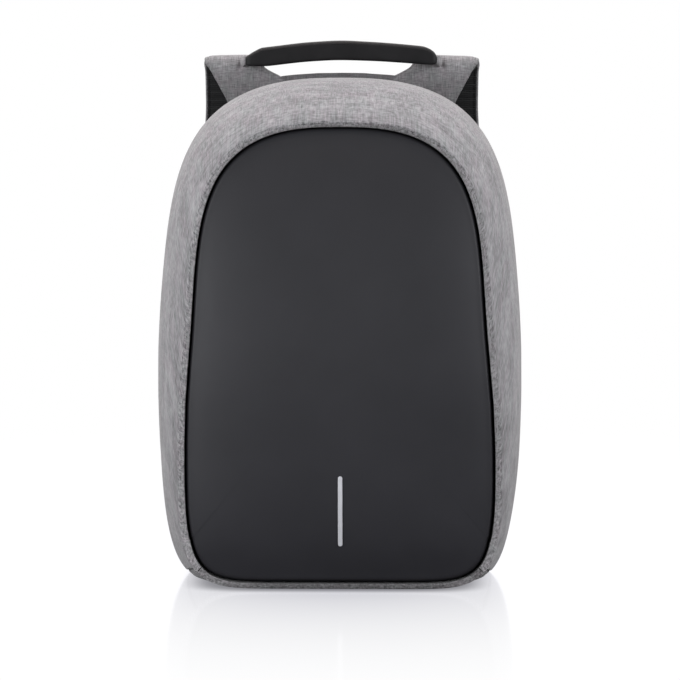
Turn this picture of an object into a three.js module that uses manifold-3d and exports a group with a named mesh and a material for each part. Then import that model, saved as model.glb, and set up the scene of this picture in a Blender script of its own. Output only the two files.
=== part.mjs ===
import * as THREE from 'three';
import { mergeVertices } from 'three/addons/utils/BufferGeometryUtils.js';
import Module from 'manifold-3d';

// Anti theft backpack, standing on its flat base.
// Millimetres, +Z up, the front panel faces -Y. While the pieces are made, y = 0 is the
// rear face of the back panel and z = 0 is the floor.

const wasm = await Module();
wasm.setup();

// Driving sizes of the body
const BODY_WIDTH = 300.9;
const BODY_HEIGHT = 412.4;
const BODY_DEPTH = 145;
const BODY_WAIST = 192.6;
const WALL = 6;
const BASE_DROP = 7;
const PIECE_GAP = 0.3;

// Front panel and the turned-in edge of the shell around it
const PANEL_WIDTH = 250;
const PANEL_TOP = 372.6;
const PANEL_BOTTOM = 5.5;
const PANEL_WAIST = 150;
const PANEL_MIDDLE = 190;
const PANEL_THICK = 5;
const PANEL_DOME = 8;
const PANEL_EDGE_ROLL = 2.4;
const RIM_INSET = 6.4;
const RIM_INSET_BELOW = 4.7;
const RIM_DEPTH = 6;

// Reflective strip
const STRIP_WIDTH = 3.6;
const STRIP_LENGTH = 58;
const STRIP_THICK = 0.6;
const STRIP_FOOT = 36.5;
const STRIP_ASIDE = 1.5;

// Back panel and the zip band between it and the shell
const BACK_THICK = 13;
const BACK_ROUNDING = 5;
const BACK_FLAT_MARGIN = 9;
const ZIP_BAND_WIDTH = 9;
const ZIP_BAND_THICK = 2;
const ZIP_BAND_SINK = 1;
const SLIDER_HEIGHT = 16;
const SLIDER_WIDTH = 7;
const SLIDER_THICK = 2.4;
const SLIDER_PLACE = 250;
const PULL_LENGTH = 24;

// Yoke, whose raised ends fold backward into the shoulder straps
const STRAP_THICK = 7;
const STRAP_INNER = 60;
const STRAP_WIDTH = 53.5;
const FOLD_TOP = 431.2;
const FOLD_RADIUS = 11;
const YOKE_FOOT = 352;
const YOKE_BAND_TOP = 416;
const YOKE_BAND_DIP = 2.6;
const YOKE_BAND_SHOULDER = 4;
const MESH_THICK = 2.4;
const MESH_MARGIN = 3;
const MESH_GAP = 0.6;
const STRAP_END = 168;
const STRAP_BOW = 7;

// Top handle
const GRIP_LENGTH = 161;
const GRIP_HEIGHT = 16;
const GRIP_DEPTH = 13;
const GRIP_TOP = 443.2;
const GRIP_SAG = 9;
const BAND_HEIGHT = 4;
const BAND_THICK = 2.4;
const BAND_STUB = 7;
const BAND_SEWN = 6;
const BAND_DROP = 4;

// Webbing and adjusters
const WEBBING_WIDTH = 24;
const WEBBING_THICK = 1.4;
const WEBBING_TAIL = 62;
const WEBBING_FOOT = 22;
const WEBBING_SEWN = 28;
const WEBBING_BEND = 2;
const WEBBING_PLACE = 96;
const ADJUSTER_WIDTH = 32;
const ADJUSTER_THICK = 3;
const ADJUSTER_BAR = 3;
const ADJUSTER_SLOT = 6.5;
const ADJUSTER_GAP = 9;

// Mesh fineness
const HALF_STEPS = 32;
const OUTLINE_SAMPLES = 720;
const TURN_LENGTH = 70;
const STRAP_STEPS = 16;

// Depth of the front along its height, as shares of the body's height and depth
const FRONT_PROFILE = [
  { height: 0.00, depth: 0.950 },
  { height: 0.10, depth: 0.985 },
  { height: 0.25, depth: 1.000 },
  { height: 0.45, depth: 0.980 },
  { height: 0.65, depth: 0.880 },
  { height: 0.80, depth: 0.740 },
  { height: 0.90, depth: 0.600 },
  { height: 0.95, depth: 0.500 },
  { height: 1.02, depth: 0.340 },
];

// Front-view outlines. Side and flat are the powers of the arch and of the bottom corners:
// the higher, the squarer. taperUp, taperDown: how far the sides close in, as shares of the half width.
const BODY_ARCH = {
  archSide: 2.565, archFlat: 1.525, cornerSide: 11.8, cornerFlat: 7.5, taperUp: -0.422, taperDown: 0.075,
};
const PANEL_ARCH = {
  archSide: 2.69, archFlat: 1.164, cornerSide: 8.1, cornerFlat: 3.3, taperUp: -0.628, taperDown: -0.064,
};

// The sides bend over at the waist within this length
const WAIST_SOFTNESS = 36;
// The lower corners of the shell are rounder at its front than at its back
const FRONT_CORNER_SIDE = 2.5;
const FRONT_CORNER_END = 0.66;

// Outer surface of the shell from the front crease to the back edge.
// along: share of the depth. grow: 0 is the crease, 1 the fullest outline. inset: share of the rounding.
const SHELL_OUTSIDE = [
  { along: 0.000, grow: 0.00, inset: 0.0 },
  { along: 0.025, grow: 0.28, inset: 0.0 },
  { along: 0.090, grow: 0.54, inset: 0.0 },
  { along: 0.200, grow: 0.77, inset: 0.0 },
  { along: 0.370, grow: 0.93, inset: 0.0 },
  { along: 0.620, grow: 1.00, inset: 0.0 },
  { along: 0.860, grow: 1.00, inset: 0.1 },
  { along: 0.960, grow: 1.00, inset: 0.5 },
  { along: 1.000, grow: 1.00, inset: 1.0 },
];

// Inner surface of the shell from the back edge to the rim
const SHELL_INSIDE = [
  { along: 1.000, grow: 1.00, inset: 1.0 },
  { along: 0.900, grow: 1.00, inset: 0.2 },
  { along: 0.620, grow: 1.00, inset: 0.0 },
  { along: 0.300, grow: 0.86, inset: 0.0 },
  { along: 0.100, grow: 0.55, inset: 0.0 },
  { along: 0.000, grow: 0.00, inset: 0.0 },
];

// Rings of the front panel. scale: share of the panel's outline. rise: share of the dome.
const PANEL_RINGS = [
  { scale: 0.990, rise: 0.08 },
  { scale: 0.965, rise: 0.18 },
  { scale: 0.900, rise: 0.38 },
  { scale: 0.780, rise: 0.63 },
  { scale: 0.580, rise: 0.86 },
  { scale: 0.320, rise: 0.98 },
];

// Route of the raised ends of the yoke. up: share of the way from the foot to the fold.
// inner, outer: how far each edge stands in from the strap's edge, as shares of its width.
const WING_RISE = [
  { up: 0.00, inner: -0.85, outer: 0.40 },
  { up: 0.55, inner: -0.72, outer: 0.34 },
  { up: 0.80, inner: -0.50, outer: 0.20 },
  { up: 0.95, inner: -0.24, outer: 0.10 },
  { up: 1.00, inner: -0.12, outer: 0.07 },
];
const WING_FOLD = [
  { turn: 0.12, inner: 0.00, outer: 0.02 },
  { turn: 0.28, inner: 0.02, outer: -0.03 },
  { turn: 0.45, inner: 0.02, outer: -0.05 },
  { turn: 0.62, inner: 0.02, outer: -0.04 },
  { turn: 0.80, inner: 0.02, outer: -0.04 },
  { turn: 1.00, inner: 0.02, outer: -0.04 },
];

// Hanging part of a strap. down: share of its drop. bow: share of the bow away from the back.
// inner, outer: shift of the two edges outward, as shares of the strap's width.
const STRAP_DROP = [
  { down: 0.00, bow: 0.00, inner: -0.02, outer: 0.04 },
  { down: 0.14, bow: 0.22, inner: -0.02, outer: 0.05 },
  { down: 0.32, bow: 0.64, inner: 0.02, outer: 0.12 },
  { down: 0.50, bow: 0.95, inner: 0.06, outer: 0.20 },
  { down: 0.66, bow: 1.00, inner: 0.12, outer: 0.20 },
  { down: 0.80, bow: 0.80, inner: 0.22, outer: 0.12 },
  { down: 0.92, bow: 0.45, inner: 0.34, outer: 0.00 },
  { down: 1.00, bow: 0.20, inner: 0.44, outer: -0.10 },
];

// Grip along its length. along: share of the half length. height, depth: shares of the full section.
const GRIP_SECTIONS = [
  { along: 1.00, height: 0.46, depth: 0.60 },
  { along: 0.97, height: 0.64, depth: 0.80 },
  { along: 0.90, height: 0.84, depth: 0.94 },
  { along: 0.78, height: 0.97, depth: 1.00 },
  { along: 0.52, height: 0.97, depth: 1.00 },
  { along: 0.26, height: 1.00, depth: 1.00 },
];

const COLOURS = {
  grey: 0x98949a,
  panel: 0x343338,
  black: 0x2a292b,
  mesh: 0x1c1c1e,
  strip: 0xb2b2b8,
  plastic: 0x202022,
};

const SHELL_BACK = -(BACK_THICK + PIECE_GAP + ZIP_BAND_WIDTH + PIECE_GAP);
const FOLD_Z = FOLD_TOP - FOLD_RADIUS - STRAP_THICK / 2;
const YOKE_Y = PIECE_GAP + STRAP_THICK / 2;
const STRAP_Y = YOKE_Y + 2 * FOLD_RADIUS;
const GRIP_Y = -(GRIP_DEPTH / 2 + PIECE_GAP);

const lerp = THREE.MathUtils.lerp;

function cubicTable(rows, at, key, value) {
  // Smooth curve through a table, with slopes taken from the neighbouring rows
  const last = rows.length - 1;
  const place = THREE.MathUtils.clamp(value, rows[0][at], rows[last][at]);
  let i = 0;
  while (i < last - 1 && place > rows[i + 1][at]) i += 1;
  const slope = (a, b) => (rows[b][key] - rows[a][key]) / (rows[b][at] - rows[a][at]);
  const startSlope = slope(Math.max(i - 1, 0), i + 1);
  const endSlope = slope(i, Math.min(i + 2, last));
  const span = rows[i + 1][at] - rows[i][at];
  const t = (place - rows[i][at]) / span;
  const t2 = t * t;
  const t3 = t2 * t;
  return (2 * t3 - 3 * t2 + 1) * rows[i][key] + (t3 - 2 * t2 + t) * span * startSlope
    + (3 * t2 - 2 * t3) * rows[i + 1][key] + (t3 - t2) * span * endSlope;
}

function frontY(z) {
  return -BODY_DEPTH * cubicTable(FRONT_PROFILE, 'height', 'depth', z / BODY_HEIGHT);
}

function sideAt(size, z) {
  // Half width of an outline at a height, before its waist is softened
  const above = z >= size.waist;
  const rise = Math.min(1, (z - size.waist) / ((above ? size.top : size.bottom) - size.waist));
  const reach = 1 - rise ** (above ? size.archFlat : size.cornerFlat);
  const side = reach ** (1 / (above ? size.archSide : size.cornerSide));
  return size.half * (1 - (above ? size.taperUp : size.taperDown) * rise ** 2) * side;
}

function softSide(size, x, z) {
  // Takes the bend out of the side where the arch meets the lower half
  const near = Math.exp(-(((z - size.waist) / (1.5 * WAIST_SOFTNESS)) ** 2));
  const apart = (sideAt(size, z - WAIST_SOFTNESS) + sideAt(size, z + WAIST_SOFTNESS)) / 2;
  return lerp(x, (x + apart) / 2, near);
}

function archOutline(size) {
  // Closed front-view outline: a rounded arch above the waist and soft corners below it.
  // It starts at the bottom middle and runs up the +X side. The floor flattens it.
  const half = [];
  for (let i = 0; i <= OUTLINE_SAMPLES; i += 1) {
    const angle = (i / OUTLINE_SAMPLES - 0.5) * Math.PI;
    const above = angle >= 0;
    const rise = Math.abs(Math.sin(angle)) ** (2 / (above ? size.archFlat : size.cornerFlat));
    const side = Math.abs(Math.cos(angle)) ** (2 / (above ? size.archSide : size.cornerSide));
    const narrowing = (above ? size.taperUp : size.taperDown) * rise ** 2;
    const reach = above ? size.top - size.waist : size.bottom - size.waist;
    const x = size.half * (1 - narrowing) * side;
    const z = size.waist + reach * rise;
    half.push(new THREE.Vector2(softSide(size, x, z), Math.max(size.floor, z)));
  }
  // Points are spaced by length and by turning, so that they lie closer in the corners
  const lengths = [0];
  let heading = 0;
  for (let i = 1; i < half.length; i += 1) {
    const next = half[i].clone().sub(half[i - 1]);
    const turned = next.length() > 0 ? Math.abs(next.angle() - heading) : 0;
    heading = next.length() > 0 ? next.angle() : heading;
    lengths.push(lengths[i - 1] + next.length() + TURN_LENGTH * Math.min(turned, 1));
  }
  const points = [];
  let at = 0;
  for (let k = 0; k <= HALF_STEPS; k += 1) {
    const target = lengths[OUTLINE_SAMPLES] * k / HALF_STEPS;
    while (at < OUTLINE_SAMPLES - 1 && lengths[at + 1] < target) at += 1;
    const share = (target - lengths[at]) / (lengths[at + 1] - lengths[at]);
    points.push(half[at].clone().lerp(half[at + 1], share));
  }
  points[0].x = 0;
  points[HALF_STEPS].x = 0;
  const mirrored = points.slice(1, HALF_STEPS).reverse();
  return points.concat(mirrored.map((p) => new THREE.Vector2(-p.x, p.y)));
}

function bodyOutline(inset, floor, front = 0) {
  // front: 1 has the round lower corners of the shell's front, 0 the squarer ones of its back
  return archOutline({
    ...BODY_ARCH,
    cornerSide: 1 / lerp(1 / BODY_ARCH.cornerSide, 1 / FRONT_CORNER_SIDE, front),
    half: BODY_WIDTH / 2 - inset,
    top: BODY_HEIGHT - inset,
    waist: BODY_WAIST,
    bottom: inset - BASE_DROP,
    floor,
  });
}

function panelOutline(grow, growBelow) {
  return archOutline({
    ...PANEL_ARCH,
    half: PANEL_WIDTH / 2 + grow,
    top: PANEL_TOP + grow,
    waist: PANEL_WAIST,
    bottom: PANEL_BOTTOM - growBelow,
    floor: 0,
  });
}

function ringSolid(rings, closed) {
  // Skin over rings of equal point counts. A closed one joins its last ring to its first,
  // an open one ends in a middle point at each end.
  const count = rings[0].length;
  const positions = [];
  const faces = [];
  rings.forEach((ring) => ring.forEach((p) => positions.push(p.x, p.y, p.z)));
  const bands = closed ? rings.length : rings.length - 1;
  for (let r = 0; r < bands; r += 1) {
    const next = (r + 1) % rings.length;
    for (let i = 0; i < count; i += 1) {
      const j = (i + 1) % count;
      const a = r * count + i;
      const b = r * count + j;
      const c = next * count + j;
      const d = next * count + i;
      faces.push(a, b, c, a, c, d);
    }
  }
  if (!closed) {
    [0, rings.length - 1].forEach((r) => {
      const middle = rings[r].reduce((sum, p) => sum.add(p), new THREE.Vector3());
      middle.divideScalar(count);
      positions.push(middle.x, middle.y, middle.z);
      const pole = positions.length / 3 - 1;
      for (let i = 0; i < count; i += 1) {
        const a = r * count + i;
        const b = r * count + (i + 1) % count;
        if (r === 0) faces.push(pole, b, a);
        else faces.push(pole, a, b);
      }
    });
  }
  const geometry = new THREE.BufferGeometry();
  geometry.setAttribute('position', new THREE.Float32BufferAttribute(positions, 3));
  geometry.setIndex(faces);
  return faceOutward(geometry);
}

function signedVolume(geometry) {
  const corners = geometry.getAttribute('position');
  const index = geometry.getIndex().array;
  const a = new THREE.Vector3();
  const b = new THREE.Vector3();
  const c = new THREE.Vector3();
  let volume = 0;
  for (let i = 0; i < index.length; i += 3) {
    a.fromBufferAttribute(corners, index[i]);
    b.fromBufferAttribute(corners, index[i + 1]);
    c.fromBufferAttribute(corners, index[i + 2]);
    volume += a.dot(b.cross(c)) / 6;
  }
  return volume;
}

function faceOutward(geometry) {
  if (signedVolume(geometry) < 0) {
    const index = geometry.getIndex().array;
    for (let i = 0; i < index.length; i += 3) {
      const kept = index[i + 1];
      index[i + 1] = index[i + 2];
      index[i + 2] = kept;
    }
  }
  return geometry;
}

function toManifold(geometry) {
  const bare = geometry.clone();
  bare.deleteAttribute('normal');
  bare.deleteAttribute('uv');
  const merged = mergeVertices(bare, 1e-4);
  return new wasm.Manifold(new wasm.Mesh({
    numProp: 3,
    vertProperties: new Float32Array(merged.getAttribute('position').array),
    triVerts: new Uint32Array(merged.getIndex().array),
  }));
}

function fromManifold(solid) {
  const mesh = solid.getMesh();
  const geometry = new THREE.BufferGeometry();
  geometry.setAttribute('position', new THREE.Float32BufferAttribute(mesh.vertProperties, 3));
  geometry.setIndex(Array.from(mesh.triVerts));
  return geometry;
}

function atDepth(outline, depthAt) {
  return outline.map((p) => new THREE.Vector3(p.x, depthAt(p.y), p.y));
}

function blendOutlines(from, to, share) {
  return from.map((p, i) => p.clone().lerp(to[i], share));
}

function cornerShare(along) {
  // 1 at the shell's front, fading to the back's corners at FRONT_CORNER_END of the depth
  return Math.max(0, 1 - along / FRONT_CORNER_END) ** 2;
}

function shellGeometry() {
  const crease = panelOutline(RIM_INSET, RIM_INSET_BELOW);
  const turned = panelOutline(PIECE_GAP, PIECE_GAP);
  const turnedBack = RIM_DEPTH + PANEL_EDGE_ROLL + PANEL_THICK;
  const outside = SHELL_OUTSIDE.map((row) => {
    const full = bodyOutline(row.inset * BACK_ROUNDING, row.inset * BACK_ROUNDING / 2, cornerShare(row.along));
    return atDepth(blendOutlines(crease, full, row.grow), (z) => lerp(frontY(z), SHELL_BACK, row.along));
  });
  const inside = SHELL_INSIDE.map((row) => {
    const inset = WALL + row.inset * BACK_ROUNDING;
    const full = bodyOutline(inset, WALL + row.inset * BACK_ROUNDING / 2, cornerShare(row.along));
    const depthAt = (z) => lerp(frontY(z) + turnedBack, SHELL_BACK, row.along);
    return atDepth(blendOutlines(turned, full, row.grow), depthAt);
  });
  const turnedFront = atDepth(turned, (z) => frontY(z) + RIM_DEPTH);
  return ringSolid([...outside, ...inside, turnedFront], true);
}

function panelRing(outline, scale, offset) {
  return outline.map((p) => {
    const z = PANEL_MIDDLE + scale * (p.y - PANEL_MIDDLE);
    return new THREE.Vector3(scale * p.x, frontY(z) + RIM_DEPTH + offset, z);
  });
}

function panelGeometry() {
  const outline = panelOutline(0, 0);
  const front = PANEL_RINGS.map((row) => panelRing(outline, row.scale, -row.rise * PANEL_DOME));
  const back = PANEL_RINGS.map((row) => panelRing(outline, row.scale, PANEL_THICK - row.rise * PANEL_DOME));
  const edgeFront = panelRing(outline, 1, PANEL_EDGE_ROLL);
  const edgeBack = panelRing(outline, 1, PANEL_EDGE_ROLL + PANEL_THICK - PIECE_GAP);
  return ringSolid([...front.reverse(), edgeFront, edgeBack, ...back], false);
}

function panelMiddleY(z) {
  // Front surface of the panel on its middle line, straight between its rings
  const scale = (PANEL_MIDDLE - z) / (PANEL_MIDDLE - PANEL_BOTTOM);
  const k = PANEL_RINGS.findIndex((row) => row.scale <= scale);
  const outer = PANEL_RINGS[k - 1];
  const inner = PANEL_RINGS[k];
  const ringY = (row) => {
    const ringZ = PANEL_MIDDLE - row.scale * (PANEL_MIDDLE - PANEL_BOTTOM);
    return frontY(ringZ) + RIM_DEPTH - row.rise * PANEL_DOME;
  };
  const share = (scale - inner.scale) / (outer.scale - inner.scale);
  return lerp(ringY(inner), ringY(outer), share);
}

function stripGeometry() {
  const half = STRIP_WIDTH / 2;
  const top = STRIP_FOOT + STRIP_LENGTH;
  const places = [
    { z: STRIP_FOOT, width: 0.35 },
    { z: STRIP_FOOT + 0.3 * half, width: 0.75 },
    { z: STRIP_FOOT + half, width: 1 },
    { z: lerp(STRIP_FOOT, top, 0.25), width: 1 },
    { z: lerp(STRIP_FOOT, top, 0.5), width: 1 },
    { z: lerp(STRIP_FOOT, top, 0.75), width: 1 },
    { z: top - half, width: 1 },
    { z: top - 0.3 * half, width: 0.75 },
    { z: top, width: 0.35 },
  ];
  const rings = places.map(({ z, width }) => {
    const back = panelMiddleY(z) - PIECE_GAP;
    const reach = half * width;
    return [
      new THREE.Vector3(STRIP_ASIDE - reach, back, z),
      new THREE.Vector3(STRIP_ASIDE + reach, back, z),
      new THREE.Vector3(STRIP_ASIDE + reach, back - STRIP_THICK, z),
      new THREE.Vector3(STRIP_ASIDE - reach, back - STRIP_THICK, z),
    ];
  });
  return ringSolid(rings, false);
}

function backPanelGeometry() {
  const round = BACK_ROUNDING;
  const ring = (inset, y) => atDepth(bodyOutline(inset, Math.min(inset, round) / 2), () => y);
  const rings = [
    ring(round + WALL, -BACK_THICK),
    ring(round, -BACK_THICK),
    ring(0.8 * round, -0.7 * BACK_THICK),
    ring(1.0 * round, -0.35 * BACK_THICK),
    ring(1.5 * round, -0.12 * BACK_THICK),
    ring(round + BACK_FLAT_MARGIN, 0),
  ];
  return ringSolid(rings, false);
}

function zipBandGeometry() {
  const outer = BACK_ROUNDING + ZIP_BAND_SINK;
  const inner = outer + ZIP_BAND_THICK;
  const front = SHELL_BACK + PIECE_GAP;
  const back = front + ZIP_BAND_WIDTH;
  const ring = (inset, y) => atDepth(bodyOutline(inset, inset / 2), () => y);
  return ringSolid([ring(outer, front), ring(outer, back), ring(inner, back), ring(inner, front)], true);
}

function outlineAt(outline, z) {
  // Half width of an outline where its +X side passes a height
  const side = outline.slice(1, HALF_STEPS);
  const k = side.findIndex((p) => p.y > z);
  const share = (z - side[k - 1].y) / (side[k].y - side[k - 1].y);
  return lerp(side[k - 1].x, side[k].x, share);
}

function zipPullGeometry(side) {
  // Slider body with its pull hanging from it, one plain piece lying along the zip
  const middleY = SHELL_BACK + PIECE_GAP + ZIP_BAND_WIDTH / 2;
  const outer = bodyOutline(BACK_ROUNDING + ZIP_BAND_SINK, 0);
  const plate = (length, width, thick, z, out) => {
    const section = (at, shrink) => {
      const x = outlineAt(outer, at) + PIECE_GAP + out;
      const halfWidth = width / 2 * shrink;
      return [
        new THREE.Vector3(side * x, middleY - halfWidth, at),
        new THREE.Vector3(side * x, middleY + halfWidth, at),
        new THREE.Vector3(side * (x + thick), middleY + halfWidth * 0.8, at),
        new THREE.Vector3(side * (x + thick), middleY - halfWidth * 0.8, at),
      ];
    };
    const steps = [[-0.5, 0.7], [-0.36, 1], [0.36, 1], [0.5, 0.7]];
    return toManifold(ringSolid(steps.map(([at, shrink]) => section(z + at * length, shrink)), false));
  };
  const slider = plate(SLIDER_HEIGHT, SLIDER_WIDTH, SLIDER_THICK, SLIDER_PLACE, 0);
  const pull = plate(PULL_LENGTH, 0.7 * SLIDER_WIDTH, 0.6 * SLIDER_THICK, SLIDER_PLACE - 0.6 * PULL_LENGTH,
    0.5 * SLIDER_THICK);
  return fromManifold(slider.add(pull));
}

function runAt(rows, i) {
  // Direction of a strap's run at a row, as y and z. A row may state its own.
  if (rows[i].run) return new THREE.Vector2(rows[i].run[0], rows[i].run[1]);
  const before = rows[Math.max(i - 1, 0)];
  const after = rows[Math.min(i + 1, rows.length - 1)];
  return new THREE.Vector2(after.y - before.y, after.z - before.z).normalize();
}

function stripSolid(rows, thick, edge) {
  // Flat strap swept through rows of { y, z, inner, outer } in the plane of its run.
  // edge: how much of the thickness its long sides are rounded by.
  const rings = rows.map((row, i) => {
    const run = runAt(rows, i);
    const half = (row.thick ?? thick) / 2;
    const round = half * edge;
    const point = (x, out) => new THREE.Vector3(x, row.y - run.y * out, row.z + run.x * out);
    return [
      point(row.inner + round, -half),
      point(row.outer - round, -half),
      point(row.outer, -half + round),
      point(row.outer, half - round),
      point(row.outer - round, half),
      point(row.inner + round, half),
      point(row.inner, half - round),
      point(row.inner, -half + round),
    ];
  });
  return ringSolid(rings, false);
}

function offsetRows(rows, out, margin) {
  // The same run, moved square to itself
  return rows.map((row, i) => {
    const run = runAt(rows, i);
    return {
      y: row.y - run.y * out,
      z: row.z + run.x * out,
      inner: row.inner + margin,
      outer: row.outer - margin,
    };
  });
}

const STRAP_OUTER = STRAP_INNER + STRAP_WIDTH;

function foldPoint(turn) {
  // Middle of the folded strap: 0 is the front of the fold, 1 its rear
  const angle = Math.PI * (1 - turn);
  return {
    y: YOKE_Y + FOLD_RADIUS + FOLD_RADIUS * Math.cos(angle),
    z: FOLD_Z + FOLD_RADIUS * Math.sin(angle),
    run: [Math.sin(angle), -Math.cos(angle)],
  };
}

function wingRows() {
  const rise = WING_RISE.map((row) => ({
    y: YOKE_Y,
    z: lerp(YOKE_FOOT, FOLD_Z, row.up),
    inner: STRAP_INNER + row.inner * STRAP_WIDTH,
    outer: STRAP_OUTER - row.outer * STRAP_WIDTH,
  }));
  const fold = WING_FOLD.map((row) => ({
    ...foldPoint(row.turn),
    inner: STRAP_INNER + row.inner * STRAP_WIDTH,
    outer: STRAP_OUTER - row.outer * STRAP_WIDTH,
  }));
  return [...rise, ...fold];
}

function mirrorRows(rows) {
  return rows.map((row) => ({ ...row, inner: -row.outer, outer: -row.inner }));
}

function yokeGeometry() {
  const right = wingRows();
  const reach = STRAP_INNER + 0.1 * STRAP_WIDTH;
  const front = PIECE_GAP;
  const band = new THREE.Shape();
  band.moveTo(-reach, YOKE_FOOT);
  band.lineTo(reach, YOKE_FOOT);
  band.lineTo(reach, YOKE_BAND_TOP - YOKE_BAND_DIP - YOKE_BAND_SHOULDER);
  band.lineTo(0.75 * reach, YOKE_BAND_TOP - YOKE_BAND_DIP);
  band.quadraticCurveTo(0, YOKE_BAND_TOP + YOKE_BAND_DIP, -0.75 * reach, YOKE_BAND_TOP - YOKE_BAND_DIP);
  band.lineTo(-reach, YOKE_BAND_TOP - YOKE_BAND_DIP - YOKE_BAND_SHOULDER);
  band.closePath();
  const plate = new THREE.ExtrudeGeometry(band, { depth: STRAP_THICK, bevelEnabled: false, curveSegments: 10 });
  plate.rotateX(Math.PI / 2);
  plate.translate(0, front + STRAP_THICK, 0);
  const wings = toManifold(stripSolid(right, STRAP_THICK, 0.5))
    .add(toManifold(stripSolid(mirrorRows(right), STRAP_THICK, 0.5)));
  return fromManifold(toManifold(plate).add(wings));
}

function strapRows() {
  const top = FOLD_Z - PIECE_GAP;
  const rows = [];
  for (let i = 0; i <= STRAP_STEPS; i += 1) {
    const down = i / STRAP_STEPS;
    const at = (key) => cubicTable(STRAP_DROP, 'down', key, down);
    rows.push({
      y: STRAP_Y + at('bow') * STRAP_BOW,
      z: lerp(top, STRAP_END, down),
      inner: STRAP_INNER + at('inner') * STRAP_WIDTH,
      outer: STRAP_OUTER + at('outer') * STRAP_WIDTH,
    });
  }
  rows[0].run = [0, -1];
  rows[rows.length - 1].run = [0, -1];
  return rows;
}

function meshRows() {
  // The lining runs from the top of the fold's inside down the strap's underside
  const sink = STRAP_THICK / 2 + MESH_GAP + MESH_THICK / 2;
  const fold = [0.5, 0.7, 0.88].map((turn) => ({
    ...foldPoint(turn),
    inner: STRAP_INNER,
    outer: STRAP_OUTER,
  }));
  const run = [...fold, ...strapRows()];
  return offsetRows(run, -sink, MESH_MARGIN).slice(0, -1);
}

function gripRows() {
  const right = GRIP_SECTIONS.map((row) => ({ ...row, x: row.along * GRIP_LENGTH / 2 }));
  const left = right.map((row) => ({ ...row, x: -row.x }));
  const middle = { along: 0, height: 1, depth: 1, x: 0 };
  return [...left, middle, ...right.reverse()];
}

function gripMiddleZ(x) {
  const share = x / (GRIP_LENGTH / 2);
  return GRIP_TOP - GRIP_HEIGHT / 2 - GRIP_SAG * share * share;
}

function gripGeometry() {
  const sides = 12;
  const rings = gripRows().map((row) => {
    const ring = [];
    for (let i = 0; i < sides; i += 1) {
      const angle = (i + 0.5) / sides * 2 * Math.PI;
      const across = Math.sign(Math.cos(angle)) * Math.abs(Math.cos(angle)) ** 0.6;
      const up = Math.sign(Math.sin(angle)) * Math.abs(Math.sin(angle)) ** 0.6;
      const y = GRIP_Y + across * row.depth * GRIP_DEPTH / 2;
      ring.push(new THREE.Vector3(row.x, y, gripMiddleZ(row.x) + up * row.height * GRIP_HEIGHT / 2));
    }
    return ring;
  });
  const bore = boreSections(GRIP_LENGTH / 2 + BAND_STUB, PIECE_GAP);
  return fromManifold(toManifold(ringSolid(rings, false)).subtract(toManifold(ringSolid(bore, false))));
}

function bandSection(x, y, z, clearance) {
  const halfHeight = BAND_HEIGHT / 2 + clearance;
  const halfThick = BAND_THICK / 2 + clearance;
  return [
    new THREE.Vector3(x, y - halfThick, z - halfHeight),
    new THREE.Vector3(x, y + halfThick, z - halfHeight),
    new THREE.Vector3(x, y + halfThick, z + halfHeight),
    new THREE.Vector3(x, y - halfThick, z + halfHeight),
  ];
}

function boreSections(end, clearance) {
  // Straight stretches that follow the arch of the grip
  const steps = 12;
  const sections = [];
  for (let i = 0; i <= steps; i += 1) {
    const x = (2 * i / steps - 1) * end;
    sections.push(bandSection(x, GRIP_Y, gripMiddleZ(x), clearance));
  }
  return sections;
}

function handleBandGeometry() {
  const end = GRIP_LENGTH / 2;
  const sewnY = -BAND_THICK / 2;
  const sewnX = end + BAND_STUB;
  const sewnZ = gripMiddleZ(sewnX) - BAND_DROP;
  const seat = (side) => [
    bandSection(side * sewnX, sewnY, sewnZ, 0),
    bandSection(side * (sewnX + BAND_SEWN), sewnY, sewnZ, 0),
  ];
  return ringSolid([...seat(-1).reverse(), ...boreSections(end, 0), ...seat(1)], false);
}

function adjusterY() {
  return STRAP_Y + STRAP_DROP[STRAP_DROP.length - 1].bow * STRAP_BOW;
}

const ADJUSTER_HEIGHT = 3 * ADJUSTER_BAR + 2 * ADJUSTER_SLOT;
const ADJUSTER_TOP = STRAP_END - ADJUSTER_GAP;
const TURN_RADIUS = Math.hypot(ADJUSTER_BAR, ADJUSTER_THICK) / 2 + PIECE_GAP + WEBBING_THICK / 2;

function adjusterGeometry(side) {
  const half = ADJUSTER_WIDTH / 2;
  const round = ADJUSTER_BAR;
  const outline = new THREE.Shape();
  outline.moveTo(-half + round, 0);
  outline.lineTo(half - round, 0);
  outline.quadraticCurveTo(half, 0, half, round);
  outline.lineTo(half, ADJUSTER_HEIGHT - round);
  outline.quadraticCurveTo(half, ADJUSTER_HEIGHT, half - round, ADJUSTER_HEIGHT);
  outline.lineTo(-half + round, ADJUSTER_HEIGHT);
  outline.quadraticCurveTo(-half, ADJUSTER_HEIGHT, -half, ADJUSTER_HEIGHT - round);
  outline.lineTo(-half, round);
  outline.quadraticCurveTo(-half, 0, -half + round, 0);
  const plate = new THREE.ExtrudeGeometry(outline, {
    depth: ADJUSTER_THICK, bevelEnabled: false, curveSegments: 3,
  });
  plate.rotateX(Math.PI / 2);
  plate.translate(0, ADJUSTER_THICK / 2, 0);
  const slotWidth = WEBBING_WIDTH + 6 * PIECE_GAP;
  const slots = [ADJUSTER_BAR, 2 * ADJUSTER_BAR + ADJUSTER_SLOT].map((foot) => {
    const slot = new THREE.BoxGeometry(slotWidth, 2 * ADJUSTER_THICK, ADJUSTER_SLOT);
    slot.translate(0, 0, foot + ADJUSTER_SLOT / 2);
    return toManifold(slot);
  });
  const solid = toManifold(plate).subtract(slots[0]).subtract(slots[1]);
  const geometry = fromManifold(solid);
  geometry.translate(side * WEBBING_PLACE, adjusterY(), ADJUSTER_TOP - ADJUSTER_HEIGHT);
  return geometry;
}

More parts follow.
